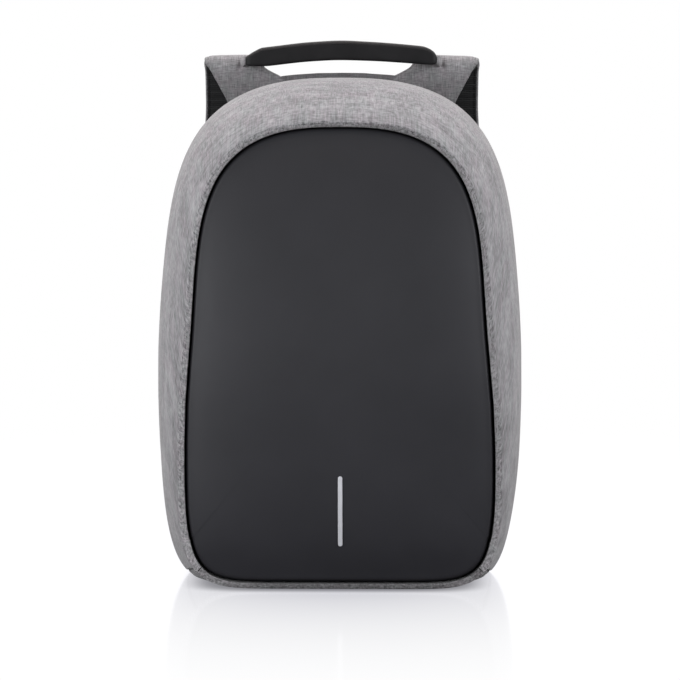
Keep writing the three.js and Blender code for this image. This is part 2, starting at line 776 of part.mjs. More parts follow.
function turnRows(barZ, up) {
  // Half turn of webbing round a bar of the adjuster, from its inner to its outer side
  const steps = 6;
  const rows = [];
  for (let i = 0; i <= steps; i += 1) {
    const angle = Math.PI * (1 - i / steps);
    rows.push({
      y: adjusterY() + TURN_RADIUS * Math.cos(angle),
      z: barZ + up * TURN_RADIUS * Math.sin(angle),
    });
  }
  return rows;
}

function webbingSolid(route, side) {
  const middle = side * WEBBING_PLACE;
  const rows = route.map((row) => ({
    ...row,
    inner: middle - WEBBING_WIDTH / 2,
    outer: middle + WEBBING_WIDTH / 2,
  }));
  return stripSolid(rows, WEBBING_THICK, 0.5);
}

function strapLoopGeometry(side) {
  const barZ = ADJUSTER_TOP - ADJUSTER_BAR / 2;
  const end = STRAP_END - PIECE_GAP;
  const turn = turnRows(barZ, -1);
  const first = turn[0];
  const last = turn[turn.length - 1];
  return webbingSolid([{ y: first.y, z: end }, ...turn, { y: last.y, z: end }], side);
}

function webbingGeometry(side) {
  const barZ = ADJUSTER_TOP - ADJUSTER_HEIGHT + ADJUSTER_BAR / 2;
  const sewnY = PIECE_GAP + WEBBING_THICK / 2;
  const sewnTop = WEBBING_FOOT + WEBBING_SEWN;
  const innerY = adjusterY() - TURN_RADIUS;
  const outerY = adjusterY() + TURN_RADIUS;
  const rise = barZ - sewnTop;
  const route = [
    { y: sewnY, z: WEBBING_FOOT },
    { y: sewnY, z: sewnTop - WEBBING_BEND },
    { y: lerp(sewnY, innerY, 0.08), z: sewnTop + 0.12 * rise },
    { y: lerp(sewnY, innerY, 0.45), z: sewnTop + 0.45 * rise },
    { y: lerp(sewnY, innerY, 0.88), z: sewnTop + 0.8 * rise },
    ...turnRows(barZ, 1),
    { y: outerY, z: barZ - 0.1 * WEBBING_TAIL },
    { y: outerY + 0.8, z: barZ - 0.5 * WEBBING_TAIL },
    { y: outerY + 0.4, z: barZ - WEBBING_TAIL },
  ];
  return webbingSolid(route, side);
}

function place(name, geometry, colour, roughness) {
  const material = new THREE.MeshStandardMaterial({ color: colour, roughness, metalness: 0 });
  const mesh = new THREE.Mesh(geometry, material);
  mesh.name = name;
  return mesh;
}

const bag = new THREE.Group();
bag.add(place('shell', shellGeometry(), COLOURS.grey, 0.95));
bag.add(place('front_panel', panelGeometry(), COLOURS.panel, 0.6));
bag.add(place('reflective_strip', stripGeometry(), COLOURS.strip, 0.4));
bag.add(place('back_panel', backPanelGeometry(), COLOURS.mesh, 0.95));
bag.add(place('zip_band', zipBandGeometry(), COLOURS.black, 0.8));
bag.add(place('yoke', yokeGeometry(), COLOURS.grey, 0.95));
bag.add(place('handle_grip', gripGeometry(), COLOURS.black, 0.6));
bag.add(place('handle_band', handleBandGeometry(), COLOURS.grey, 0.95));

[['left', -1], ['right', 1]].forEach(([name, side]) => {
  const sided = (rows) => (side > 0 ? rows : mirrorRows(rows));
  bag.add(place(`strap_${name}`, stripSolid(sided(strapRows()), STRAP_THICK, 0.5), COLOURS.grey, 0.95));
  bag.add(place(`strap_mesh_${name}`, stripSolid(sided(meshRows()), MESH_THICK, 0.4), COLOURS.mesh, 0.9));
  bag.add(place(`strap_loop_${name}`, strapLoopGeometry(side), COLOURS.black, 0.8));
  bag.add(place(`adjuster_${name}`, adjusterGeometry(side), COLOURS.plastic, 0.5));
  bag.add(place(`webbing_${name}`, webbingGeometry(side), COLOURS.black, 0.8));
  bag.add(place(`zip_pull_${name}`, zipPullGeometry(side), COLOURS.plastic, 0.5));
});

// The origin is on the floor under the middle of the whole bag
const extent = new THREE.Box3().setFromObject(bag);
bag.position.y = -(extent.min.y + extent.max.y) / 2;
bag.position.z = -extent.min.z;

export default bag;
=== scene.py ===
import math
import bpy
import bmesh
import numpy as np
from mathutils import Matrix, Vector, noise


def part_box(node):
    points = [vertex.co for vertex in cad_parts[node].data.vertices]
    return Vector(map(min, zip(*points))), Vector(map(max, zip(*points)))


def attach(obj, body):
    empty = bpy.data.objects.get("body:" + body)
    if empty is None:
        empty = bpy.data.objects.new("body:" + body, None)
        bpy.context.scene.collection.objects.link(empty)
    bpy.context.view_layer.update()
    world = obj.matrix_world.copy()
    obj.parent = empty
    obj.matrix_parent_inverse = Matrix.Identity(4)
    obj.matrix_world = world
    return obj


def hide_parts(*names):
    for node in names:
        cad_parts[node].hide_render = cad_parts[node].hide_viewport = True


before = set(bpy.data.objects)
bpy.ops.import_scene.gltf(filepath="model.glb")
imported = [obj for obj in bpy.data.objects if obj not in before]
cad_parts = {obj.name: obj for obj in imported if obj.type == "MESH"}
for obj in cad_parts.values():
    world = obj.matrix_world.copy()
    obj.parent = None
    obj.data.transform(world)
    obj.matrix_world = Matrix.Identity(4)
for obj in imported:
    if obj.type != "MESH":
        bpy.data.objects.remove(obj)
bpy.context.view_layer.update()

# Anti theft backpack. Lengths are in millimetres unless a name says otherwise, and they are
# turned into metres where a mesh is made. REAR is the rear face of the back panel.
MM = 0.001
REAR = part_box("back_panel")[1].y / MM

# Body and front panel
BODY_WIDTH = 300.9
BODY_HEIGHT = 412.4
BODY_DEPTH = 145
BODY_WAIST = 192.6
WALL = 6
BASE_DROP = 7
PANEL_WIDTH = 250
PANEL_TOP = 372.6
PANEL_BOTTOM = 4.6
PANEL_WAIST = 150
PANEL_MIDDLE = 190
PANEL_THICK = 5
PANEL_DOME = 8
PANEL_EDGE_ROLL = 2.4
PANEL_EDGE_GAP = 1.2
RIM_INSET = 5.4
RIM_INSET_BELOW = 3.8
RIM_DEPTH = 6
PIECE_GAP = 0.3
BACK_THICK = 13
BACK_ROUNDING = 5
BACK_SEAM = 0.955
BACK_SEAM_DEPTH = 1.3
ZIP_BAND_WIDTH = 9
ZIP_BAND_SINK = 1
TOOTH_PITCH = 2.1
TOOTH_HALF_LENGTH = 0.72
TOOTH_HALF_WIDTH = 1.15
TOOTH_HEIGHT = 0.75
TOOTH_SINK = 0.15
TOOTH_SWAY = 0.45
SHELL_BACK = -(BACK_THICK + PIECE_GAP + ZIP_BAND_WIDTH + PIECE_GAP)

# Straps and yoke
STRAP_THICK = 7
STRAP_INNER = 60
STRAP_WIDTH = 53.5
STRAP_OUTER = STRAP_INNER + STRAP_WIDTH
FOLD_TOP = 431.2
FOLD_RADIUS = 11
FOLD_Z = FOLD_TOP - FOLD_RADIUS - STRAP_THICK / 2
YOKE_FOOT = 352
YOKE_BAND_TOP = 416
YOKE_BAND_DIP = 2.6
YOKE_Y = PIECE_GAP + STRAP_THICK / 2
STRAP_Y = YOKE_Y + 2 * FOLD_RADIUS
STRAP_END = 168
STRAP_BOW = 7
MESH_THICK = 2.4
MESH_GAP = 0.6
MESH_MARGIN = 3
MESH_EDGE = 1.5
MESH_RIB = 0.22
MESH_PITCH = 2.3
# How much lower the outer edge of the folded strap sits, by side
FOLD_DROOP = {-1: 0.5, 1: 1.2}
# Rows of the strap that belong to its wing, and the column of the stitches along its edge
WING_ROWS = 166
EDGE_ROW = 6
STITCHED_ROWS = slice(100, -8, 3)

# Handle and the place where it is sewn to a wing
GRIP_LENGTH = 161
GRIP_HEIGHT = 16
GRIP_DEPTH = 13
GRIP_TOP = 443.2
GRIP_SAG = 9
GRIP_Y = -(GRIP_DEPTH / 2 + PIECE_GAP)
GRIP_END_Z = GRIP_TOP - GRIP_HEIGHT / 2 - GRIP_SAG
BAND_HEIGHT = 4
BAND_THICK = 2.4
BAND_INSET = 2
HANDLE_SEAM_X = 84.4
HANDLE_SEAM_Z = 421.0

# Reflective strip
STRIP_WIDTH = 3.6
STRIP_LENGTH = 58
STRIP_THICK = 0.6
STRIP_FOOT = 36.5
STRIP_ASIDE = 1.5
STRIP_CLEAR = 0.05

# Webbing and adjusters
WEBBING_WIDTH = 24
WEBBING_THICK = 1.4
WEBBING_TAIL = 62
WEBBING_FOOT = 22
WEBBING_SEWN = 28
WEBBING_PLACE = 96
ADJUSTER_THICK = 3
ADJUSTER_BAR = 3
ADJUSTER_SLOT = 6.5
ADJUSTER_GAP = 9
ADJUSTER_HEIGHT = 3 * ADJUSTER_BAR + 2 * ADJUSTER_SLOT
ADJUSTER_TOP = STRAP_END - ADJUSTER_GAP
TURN_RADIUS = math.hypot(ADJUSTER_BAR, ADJUSTER_THICK) / 2 + PIECE_GAP + WEBBING_THICK / 2

# Camera, from the photograph's frame of 680 x 680 pixels
CAMERA_ELEVATION = 6.0
CAMERA_AZIMUTH = 1.0
CAMERA_DISTANCE = 2500
CAMERA_TARGET = (0, -65, 196.4)
CAMERA_FRAME = 563.7
SENSOR = 36

# World: its strength in front of the bag, behind it and its share below it
WORLD_FRONT = 0.155
WORLD_BACK = 1.0
WORLD_BELOW = 0.25

# Floor: its reflection fades over FLOOR_FADE and the floor ends softly at FLOOR_EDGE
WHITE = (1, 1, 1, 1)
FLOOR_WHITE = 1.03
FLOOR_DROP = 0.2
FLOOR_ROUGHNESS = 0.12
FLOOR_MIRROR = 0.70
FLOOR_FADE = 160
FLOOR_EDGE = (550.0, 950.0)
MIRROR_TINT = (0.1, 0.1, 1, 1)
MIRROR_GLOW = 0.12

# Shade under the bag: middle and half width of a rounded rectangle, and where in it the shade ends
SHADE_PRINT = (("X", -2.0, 128.0), ("Y", -4.0, 92.0))
SHADE_POWER = 6.0
SHADE_EDGE = (0.80, 1.02)
SHADE_COLOUR = (0.040, 0.038, 0.050, 1)
FLOOR_SHADE = 0.64

# Lamps: power in watts, colour and the points in metres that they face
LIT_POINT = (0, 0, 0.22)
LIT_TOP = (0, 0, 0.25)
KEY_POWER = 25
FILL_POWER = 33.5
SIDE_POWER = 16
TOP_POWER = 27
COOL = (0.955, 0.97, 1.0)
WARM = (1.0, 0.925, 0.915)

# Depth of the body's front by its height, both as shares
FRONT_PROFILE = [
    (0.00, 0.950), (0.10, 0.985), (0.25, 1.000), (0.45, 0.980), (0.65, 0.880),
    (0.80, 0.740), (0.90, 0.600), (0.95, 0.500), (1.02, 0.340),
]
# Outlines from the front: powers of the arch above the waist and of the corners below it, and how
# much the width shrinks up and down
BODY_ARCH = dict(arch_side=2.565, arch_flat=1.525, corner_side=11.8, corner_flat=7.5, up=-0.422,
                 down=0.075)
PANEL_ARCH = dict(arch_side=2.69, arch_flat=1.164, corner_side=8.1, corner_flat=3.3, up=-0.628,
                  down=-0.064)
WAIST_SOFTNESS = 36
# How much a turn of the outline draws the grid's points together
TURN_WEIGHT = 70

# Rounder lower corners of the body's front: their power and the share of the depth where they end
FRONT_CORNER_SIDE = 2.5
FRONT_CORNER_END = 0.66

# The bag's lean: its front hangs a little to +X near the foot, and the +X corner is drawn in. Each ends
# from a height over a range.
FRONT_LEAN = 1.3
LEAN_HEIGHTS = (60, 200)
CORNER_DRAW = 2.0
CORNER_HEIGHTS = (40, 75)

# Seam across each lower corner: share of the outline at the crease and further back
CORNER_SEAM = 0.195
CORNER_SEAM_BACK = 0.214
SEAM_SHARES = np.linspace(0.184, 0.236, 79)
# The seam's section is drawn in steps of the outline. The cloth is drawn in towards SEAM_CENTRE.
SEAM_STEPS = 360
SEAM_DEPTH = 1.5
SEAM_SET_IN = 0.5
SEAM_ROLL = 0.7
SEAM_NOTCH = 1.1
SEAM_THREAD = 0.0012
SEAM_CENTRE = (0, -20, 90)
# First row of the shell's rim after its black rows, which bind its edge and paint the shadow in the gap
# round the front panel
RIM_ROW = 5

# Section of the shell: share of the depth, growth from the crease, share of the back rounding
SHELL_OUTSIDE = [
    (0.000, 0.00, 0.0), (0.025, 0.28, 0.0), (0.090, 0.54, 0.0), (0.200, 0.77, 0.0), (0.370, 0.93, 0.0),
    (0.620, 1.00, 0.0), (0.860, 1.00, 0.1), (0.960, 1.00, 0.5), (1.000, 1.00, 1.0),
]
SHELL_INSIDE = [
    (1.000, 1.00, 1.0), (0.900, 1.00, 0.2), (0.620, 1.00, 0.0), (0.300, 0.86, 0.0), (0.100, 0.55, 0.0),
    (0.000, 0.00, 0.0),
]
# Rise of the front panel by its scale about its middle
PANEL_RISE = [
    (0.000, 1.00), (0.320, 0.98), (0.580, 0.86), (0.780, 0.63), (0.900, 0.38), (0.965, 0.18),
    (0.990, 0.08), (1.000, -0.30),
]


def curve_through(rows, column, steps=40):
    """Places and values of a smooth curve through one column of a table, for np.interp."""
    rows = np.array(rows, float)
    x, y = rows[:, 0], rows[:, column]
    places, values = [], []
    for i in range(len(x) - 1):
        before, after = max(i - 1, 0), min(i + 2, len(x) - 1)
        start = (y[i + 1] - y[before]) / (x[i + 1] - x[before])
        end = (y[after] - y[i]) / (x[after] - x[i])
        span = x[i + 1] - x[i]
        t = np.linspace(0, 1, steps, endpoint=i == len(x) - 2)
        places.append(x[i] + t * span)
        values.append((2 * t**3 - 3 * t**2 + 1) * y[i] + (t**3 - 2 * t**2 + t) * span * start
                      + (3 * t**2 - 2 * t**3) * y[i + 1] + (t**3 - t**2) * span * end)
    return np.concatenate(places), np.concatenate(values)


FRONT_CURVE = curve_through(FRONT_PROFILE, 1)
RISE_CURVE = curve_through(PANEL_RISE, 1)


def front_y(z):
    """Depth of the body's front at a height, in front of the rear face."""
    return -BODY_DEPTH * np.interp(z / BODY_HEIGHT, *FRONT_CURVE)


def side_at(z, half, top, waist, bottom, arch):
    """Half width of an outline at a height, before its waist is softened."""
    above = z >= waist
    rise = np.minimum(1, (z - waist) / np.where(above, top - waist, bottom - waist))
    reach = 1 - rise ** np.where(above, arch["arch_flat"], arch["corner_flat"])
    side = reach ** (1 / np.where(above, arch["arch_side"], arch["corner_side"]))
    return half * (1 - np.where(above, arch["up"], arch["down"]) * rise**2) * side


def arch_half(shares, half, top, waist, bottom, floor, arch):
    """Points (x, z) of the +X half of a front-view outline, from the bottom middle to the top."""
    angle = np.linspace(-math.pi / 2, math.pi / 2, 2881)
    above = angle >= 0
    rise = np.abs(np.sin(angle)) ** np.where(above, 2 / arch["arch_flat"], 2 / arch["corner_flat"])
    side = np.abs(np.cos(angle)) ** np.where(above, 2 / arch["arch_side"], 2 / arch["corner_side"])
    x = half * (1 - np.where(above, arch["up"], arch["down"]) * rise**2) * side
    z = waist + np.where(above, top - waist, bottom - waist) * rise
    near = np.exp(-(((z - waist) / (1.5 * WAIST_SOFTNESS)) ** 2))
    below = side_at(z - WAIST_SOFTNESS, half, top, waist, bottom, arch)
    above = side_at(z + WAIST_SOFTNESS, half, top, waist, bottom, arch)
    x = x + near * ((below + above) / 2 - x) / 2
    z = np.maximum(floor, z)
    step = np.stack([np.diff(x), np.diff(z)], 1)
    length = np.hypot(step[:, 0], step[:, 1])
    heading = np.unwrap(np.arctan2(step[:, 1], step[:, 0]))
    turned = np.abs(np.diff(heading, prepend=heading[0]))
    turned[length < 1e-9] = 0
    place = np.concatenate([[0], np.cumsum(length + TURN_WEIGHT * np.minimum(turned, 1))])
    at = np.asarray(shares) * place[-1]
    return np.stack([np.interp(at, place, x), np.interp(at, place, z)], 1)


def whole_ring(half):
    """A closed ring from its +X half."""
    half = half.copy()
    half[0, 0] = half[-1, 0] = 0
    left = half[-2:0:-1] * [-1, 1]
    return np.concatenate([half, left])


def body_ring(shares, inset, floor, front=0.0):
    """Outline of the body. At its front (1) the lower corners are rounder than at its back (0)."""
    side = 1 / BODY_ARCH["corner_side"] * (1 - front) + front / FRONT_CORNER_SIDE
    arch = BODY_ARCH | {"corner_side": 1 / side}
    return whole_ring(arch_half(shares, BODY_WIDTH / 2 - inset, BODY_HEIGHT - inset, BODY_WAIST,
                                inset - BASE_DROP, floor, arch))


def panel_ring(shares, grow, below):
    """Outline of the front panel, grown at its sides and top and lowered at its foot."""
    return whole_ring(arch_half(shares, PANEL_WIDTH / 2 + grow, PANEL_TOP + grow, PANEL_WAIST,
                                PANEL_BOTTOM - below, 0, PANEL_ARCH))


def smooth(t):
    """An even step from 0 to 1."""
    t = np.clip(t, 0, 1)
    return t * t * (3 - 2 * t)


def gone(value, start, over):
    """1 up to the start, then an even step to 0."""
    return 1 - smooth((value - start) / over)


def bell(distance, spread):
    return np.exp(-(distance**2) / spread)


def plateau(distance, half):
    """Nearly 1 to half its width on both sides, with steep ends."""
    return np.exp(-((distance / half) ** 4))


def leaned(ring, along):
    """The ring moved by the bag's lean at a share of the depth."""
    ring = ring.copy()
    low = gone(ring[:, 1], *LEAN_HEIGHTS)
    foot = gone(ring[:, 1], *CORNER_HEIGHTS)
    wide = smooth(along / 0.25) * gone(along, 0.55, 0.35)
    ring[:, 0] += FRONT_LEAN * low * max(1 - along, 0) ** 3
    ring[:, 0] -= CORNER_DRAW * foot * wide * np.clip(ring[:, 0] / 120, 0, 1)
    return ring


def at_depth(ring, y):
    """A ring of x and z as points at a depth."""
    return np.stack([ring[:, 0], np.broadcast_to(y, len(ring)), ring[:, 1]], 1)


def fine_rows(rows, steps):
    """The rows of a section table with smooth rows between them."""
    rows = np.array(rows, float)
    index = np.arange(len(rows), dtype=float)[:, None]
    table = np.hstack([index, rows])
    return np.stack([curve_through(table, c, steps)[1] for c in range(1, table.shape[1])], 1)


def add_object(name, data):
    made = bpy.data.objects.new(name, data)
    bpy.context.scene.collection.objects.link(made)
    return made


def mesh_of(name, verts, faces):
    """A mesh from points in millimetres, with y counted from the rear face."""
    mesh = bpy.data.meshes.new(name)
    mesh.from_pydata([tuple(v) for v in (np.array(verts) + [0, REAR, 0]) * MM], [], faces)
    return mesh


def grid_piece(name, points, uv, material, close_rows=False, poles=True, paint=()):
    """A piece from a grid of points whose columns close to rings. The weave's UV is in millimetres.

    Poles close its first and last ring, and paint gives other materials to the faces in a mask.
    """
    rows, columns = points.shape[:2]
    row_span = rows if close_rows else rows - 1
    verts = points.reshape(-1, 3)
    faces, corners = [], []
    for r in range(row_span):
        r2 = (r + 1) % rows
        for c in range(columns):
            c2 = (c + 1) % columns
            faces.append((r * columns + c, r * columns + c2, r2 * columns + c2, r2 * columns + c))
            u2 = uv[r, c2] if c2 else uv[r, -1] + uv[r, 1] - uv[r, 0]
            u3 = uv[r2, c2] if c2 else uv[r2, -1] + uv[r2, 1] - uv[r2, 0]
            corners += [uv[r, c], u2, u3, uv[r2, c]]
    for r in (0, rows - 1) if poles else ():
        pole = len(verts)
        verts = np.concatenate([verts, points[r].mean(0)[None]])
        for c in range(columns):
            c2 = (c + 1) % columns
            a, b = (c2, c) if r == 0 else (c, c2)
            faces.append((pole, r * columns + a, r * columns + b))
            corners += [uv[r].mean(0), uv[r, a], uv[r, b]]
    mesh = mesh_of(name, verts, faces)
    layer = mesh.uv_layers.new(name="weave")
    layer.data.foreach_set("uv", (np.array(corners, float) * MM).ravel())
    piece = finish_mesh(name, mesh, material)
    numbers = np.zeros(len(faces), int)
    for number, (other, wanted) in enumerate(paint, 1):
        mesh.materials.append(other)
        numbers[:row_span * columns][wanted[:row_span].ravel()] = number
    mesh.polygons.foreach_set("material_index", numbers)
    return piece


def finish_mesh(name, mesh, material):
    """A smooth piece that rides on the root body."""
    work = bmesh.new()
    work.from_mesh(mesh)
    bmesh.ops.recalc_face_normals(work, faces=work.faces)
    work.to_mesh(mesh)
    work.free()
    mesh.shade_smooth()
    mesh.materials.append(material)
    piece = add_object(name, mesh)
    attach(piece, "root")
    return piece


# Materials


class Value:
    """A number in a node tree. The operators + - * / on it make math nodes."""

    def __init__(self, nodes, socket):
        self.nodes = nodes
        self.socket = socket

    def __add__(self, other):
        return self.nodes.math("ADD", self, other)

    def __radd__(self, other):
        return self.nodes.math("ADD", other, self)

    def __sub__(self, other):
        return self.nodes.math("SUBTRACT", self, other)

    def __rsub__(self, other):
        return self.nodes.math("SUBTRACT", other, self)

    def __mul__(self, other):
        return self.nodes.math("MULTIPLY", self, other)

    def __truediv__(self, other):
        return self.nodes.math("DIVIDE", self, other)


class Nodes:
    """Builds the nodes of a tree.

    An input is called by its name, with _ for a space, or by the letter i and its number.
    """

    def __init__(self, tree):
        self.tree = tree

    def node(self, kind, settings=(), **inputs):
        made = self.tree.nodes.new(kind)
        for key, value in dict(settings).items():
            setattr(made, key, value)
        for key, value in inputs.items():
            self.feed(made, key, value)
        return made

    def feed(self, node, key, value):
        numbered = key[0] == "i" and key[1:].isdigit()
        socket = node.inputs[int(key[1:])] if numbered else node.inputs[key.replace("_", " ")]
        if isinstance(value, Value):
            value = value.socket
        if isinstance(value, bpy.types.NodeSocket):
            self.tree.links.new(value, socket)
        else:
            socket.default_value = value

    def math(self, operation, a, b=0.0):
        return Value(self, self.node("ShaderNodeMath", dict(operation=operation), i0=a, i1=b).outputs[0])

    def axis(self, vector, name):
        return Value(self, self.node("ShaderNodeSeparateXYZ", Vector=vector).outputs[name])

    def length(self, vector):
        made = self.node("ShaderNodeVectorMath", dict(operation="LENGTH"), i0=vector)
        return Value(self, made.outputs["Value"])

    def graded(self, value, low, high, start, end, curve="SMOOTHSTEP"):
        """From start to end as the value goes from low to high."""
        made = self.node("ShaderNodeMapRange", dict(interpolation_type=curve), Value=value, From_Min=low,
                         From_Max=high, To_Min=start, To_Max=end)
        return Value(self, made.outputs[0])

    def stretch(self, vector, scale):
        made = self.node("ShaderNodeVectorMath", dict(operation="MULTIPLY"), i0=vector, i1=scale)
        return made.outputs[0]

    def noise(self, vector, scale=1.0, detail=2.0, roughness=0.5):
        made = self.node("ShaderNodeTexNoise", Vector=vector, Scale=scale, Detail=detail,
                         Roughness=roughness)
        return Value(self, made.outputs["Fac"])

    def wave(self, vector, direction, pitch):
        """0 to 1 wave across X or Y with a pitch in millimetres."""
        made = self.node("ShaderNodeTexWave", dict(bands_direction=direction), Vector=vector,
                         Scale=2 * math.pi / (20 * pitch))
        return Value(self, made.outputs["Fac"])

    def ramp(self, value, stops):
        made = self.node("ShaderNodeValToRGB", Fac=value)
        elements = made.color_ramp.elements
        elements.remove(elements[1])
        for i, (place, colour) in enumerate(stops):
            element = elements.new(place) if i else elements[0]
            element.position = place
            element.color = (*colour, 1)
        return made.outputs["Color"]

    def mix(self, share, a, b, blend="MIX"):
        made = self.node("ShaderNodeMix", dict(data_type="RGBA", blend_type=blend), i0=share, i6=a, i7=b)
        return made.outputs[2]

    def bump(self, height, strength, distance, **below):
        """Bump over the normal below, with its distance in millimetres."""
        made = self.node("ShaderNodeBump", Height=height, Strength=strength, Distance=distance * MM,
                         **below)
        return made.outputs["Normal"]


class Shader(Nodes):
    """The nodes of a new material."""

    def __init__(self, name):
        self.material = bpy.data.materials.new(name)
        self.material.use_nodes = True
        super().__init__(self.material.node_tree)

    def weave(self):
        """The weave's coordinates in millimetres."""
        made = self.node("ShaderNodeUVMap", dict(uv_map="weave"))
        return self.stretch(made.outputs[0], (1 / MM,) * 3)

    def place(self):
        """Object coordinates in millimetres."""
        return self.stretch(self.node("ShaderNodeTexCoord").outputs["Object"], (1 / MM,) * 3)

    def finish(self, **values):
        for key, value in values.items():
            self.feed(self.tree.nodes["Principled BSDF"], key, value)
        return self.material


# Heather cloth: width and run of its yarns and slubs, pitch of its threads and its middle grey
YARN_WIDTH = 0.62
YARN_RUN = 5.0
SLUB_WIDTH = 1.7
SLUB_RUN = 18
THREAD_PITCH = 0.56
HEATHER_GREY = 0.31
HEATHER_TINT = (1.0, 0.965, 0.985)
HEATHER_STOPS = [(0.34, 0.105), (0.45, 0.24), (0.53, 0.365), (0.66, 0.56)]
STREAK = (1 / 30, 1 / 6, 1)


def painted_light_by_place(s, colour, painted_light_ramp, axis="Z"):
    """Colour multiplied by a factor that changes evenly between two heights, or along another axis: painted
    light and shade.
    """
    return s.mix(1.0, colour, s.graded(s.axis(s.place(), axis), *painted_light_ramp, "LINEAR"), "MULTIPLY")


def heather_material(name="heather_grey", light=1.0, contrast=1.0, fleck=0.0, slow=0.0, run=1.0, painted_light_ramp=(),
                     painted_light_across=()):
    """Two-tone melange weave: pale and dark yarns in both directions, with slubs and mottling."""
    s = Shader(name)
    uv = s.weave()

    def yarns(width, length, detail):
        """Noise drawn out along the warp and along the weft."""
        warp = s.noise(s.stretch(uv, (1 / width, 1 / (length * run), 1)), 1.0, detail)
        weft = s.noise(s.stretch(uv, (1 / length, 1 / width, 1)), 1.0, detail)
        return warp, weft

    def tone_of(level):
        grey = light * (HEATHER_GREY + (level - HEATHER_GREY) * contrast)
        return tuple(grey * t for t in HEATHER_TINT)

    warp, weft = yarns(YARN_WIDTH, YARN_RUN, 2.0)
    slub_warp, slub_weft = yarns(SLUB_WIDTH, SLUB_RUN, 3.0)
    mottle = s.noise(uv, 0.035, 3.0)
    cross_u = s.wave(uv, "X", THREAD_PITCH)
    cross_v = s.wave(uv, "Y", THREAD_PITCH)
    over = s.math("GREATER_THAN", (cross_u - 0.5) * (cross_v - 0.5), 0.0)
    yarn = warp * over + weft * (1.0 - over)
    fine = yarn * 0.55 + (warp + weft) * 0.5 * 0.45
    slub = (slub_warp + slub_weft) * 0.5
    tone = fine * 0.60 + slub * 0.28 + mottle * 0.12
    if slow:
        tone = tone + (s.noise(s.stretch(uv, STREAK), 1.0, 2.0) - 0.5) * slow
    if fleck:
        tone = tone + (s.noise(uv, 0.36, 2.0, 0.6) - 0.5) * fleck
    colour = s.ramp(tone, [(place, tone_of(level)) for place, level in HEATHER_STOPS])
    tint = s.ramp(s.noise(uv, 0.11, 2.0), [
        (0.35, (0.97, 1.0, 0.985)), (0.5, (1.0, 1.0, 1.0)), (0.65, (1.015, 0.98, 0.995)),
    ])
    colour = s.mix(1.0, colour, tint, "MULTIPLY")
    # Ramps by height and across X that paint light and shade into the colour
    if painted_light_ramp:
        colour = painted_light_by_place(s, colour, painted_light_ramp)
    if painted_light_across:
        colour = painted_light_by_place(s, colour, painted_light_across, "X")
    normal = s.bump(slub, 0.35, 0.25)
    normal = s.bump((cross_u + cross_v) * 0.5 + fine * 1.2, 0.45, 0.12, Normal=normal)
    return s.finish(Base_Color=colour, Roughness=0.92, Sheen_Weight=0.25, Sheen_Roughness=0.45,
                    Specular_IOR_Level=0.25, Normal=normal)


def panel_material():
    """Coated matte cloth: nearly black, faintly uneven in tone and gloss, with painted light towards its
    foot and painted shade towards its top.
    """
    s = Shader("coated_panel")
    uv = s.weave()
    cloud = s.noise(uv, 0.012, 3.0)
    grain = s.noise(uv, 1.8, 3.0, 0.6)
    scuff = s.noise(s.stretch(uv, (0.12, 0.03, 1)), 1.0, 5.0, 0.65)
    colour = s.ramp(cloud * 0.7 + grain * 0.3, [
        (0.35, (0.0155, 0.0152, 0.0186)), (0.65, (0.0210, 0.0205, 0.0248)),
    ])
    # Painted light and shade: lighter towards the foot, darker towards the top
    colour = painted_light_by_place(s, colour, (40.0, 350.0, 1.25, 0.78))
    normal = s.bump(s.wave(uv, "X", 0.42) + s.wave(uv, "Y", 0.42), 0.10, 0.05)
    normal = s.bump(grain, 0.12, 0.06, Normal=normal)
    return s.finish(Base_Color=colour, Roughness=0.50 + scuff * 0.10, Specular_IOR_Level=0.5,
                    Normal=normal)


def mesh_material(name="air_mesh", pitch=1.7):
    """Ribbed spacer mesh: rounded ribs with rows of small dark holes between them."""
    s = Shader(name)
    uv = s.weave()
    ribs = s.wave(uv, "Y", pitch)
    cells = s.wave(uv, "X", pitch * 0.8)
    fuzz = s.noise(uv, 1.4, 3.0, 0.6)
    hole = (1.0 - ribs) * (0.35 + cells * 0.65)
    colour = s.ramp(ribs + fuzz * 0.5 - hole * 0.7, [
        (0.10, (0.0015, 0.0014, 0.0016)), (0.7, (0.0045, 0.0042, 0.0046)), (1.0, (0.0105, 0.0098, 0.0106)),
    ])
    normal = s.bump(ribs - hole * 0.6, 0.9, 0.5)
    return s.finish(Base_Color=colour, Roughness=0.9, Sheen_Weight=0.15, Normal=normal)


def grip_material():
    """Soft matte cover of the handle with a fine pebble and rubbed edges."""
    s = Shader("grip_cover")
    at = s.place()
    pebble = s.node("ShaderNodeTexVoronoi", Vector=at, Scale=1.1).outputs["Distance"]
    wear = s.noise(at, 0.08, 4.0)
    colour = s.ramp(wear, [(0.35, (0.0060, 0.0055, 0.0061)), (0.7, (0.0096, 0.0089, 0.0097))])
    normal = s.bump(wear, 0.3, 0.6, Normal=s.bump(pebble, 0.22, 0.12))
    return s.finish(Base_Color=colour, Roughness=0.50 + wear * 0.16, Specular_IOR_Level=0.27,
                    Normal=normal)


def webbing_material(name="webbing", level=0.012):
    """Flat woven webbing with a twill rib across it."""
    s = Shader(name)
    uv = s.weave()
    twill = s.wave(uv, "Y", 1.1) + s.wave(uv, "X", 1.6) * 0.5
    fuzz = s.noise(uv, 1.2, 3.0)
    colour = s.ramp(twill * 0.4 + fuzz * 0.4, [(0.25, (level * 0.5,) * 3), (0.75, (level * 1.9,) * 3)])
    return s.finish(Base_Color=colour, Roughness=0.85, Sheen_Weight=0.12, Normal=s.bump(twill, 0.7, 0.3))


def plastic_material(name="moulded_plastic"):
    s = Shader(name)
    at = s.place()
    worn = s.noise(at, 0.22, 3.0)
    colour = s.ramp(worn, [(0.35, (0.010, 0.010, 0.0105)), (0.7, (0.017, 0.017, 0.0178))])
    normal = s.bump(s.noise(at, 2.6, 3.0, 0.6), 0.25, 0.06)
    return s.finish(Base_Color=colour, Roughness=0.36 + worn * 0.16, Normal=normal)


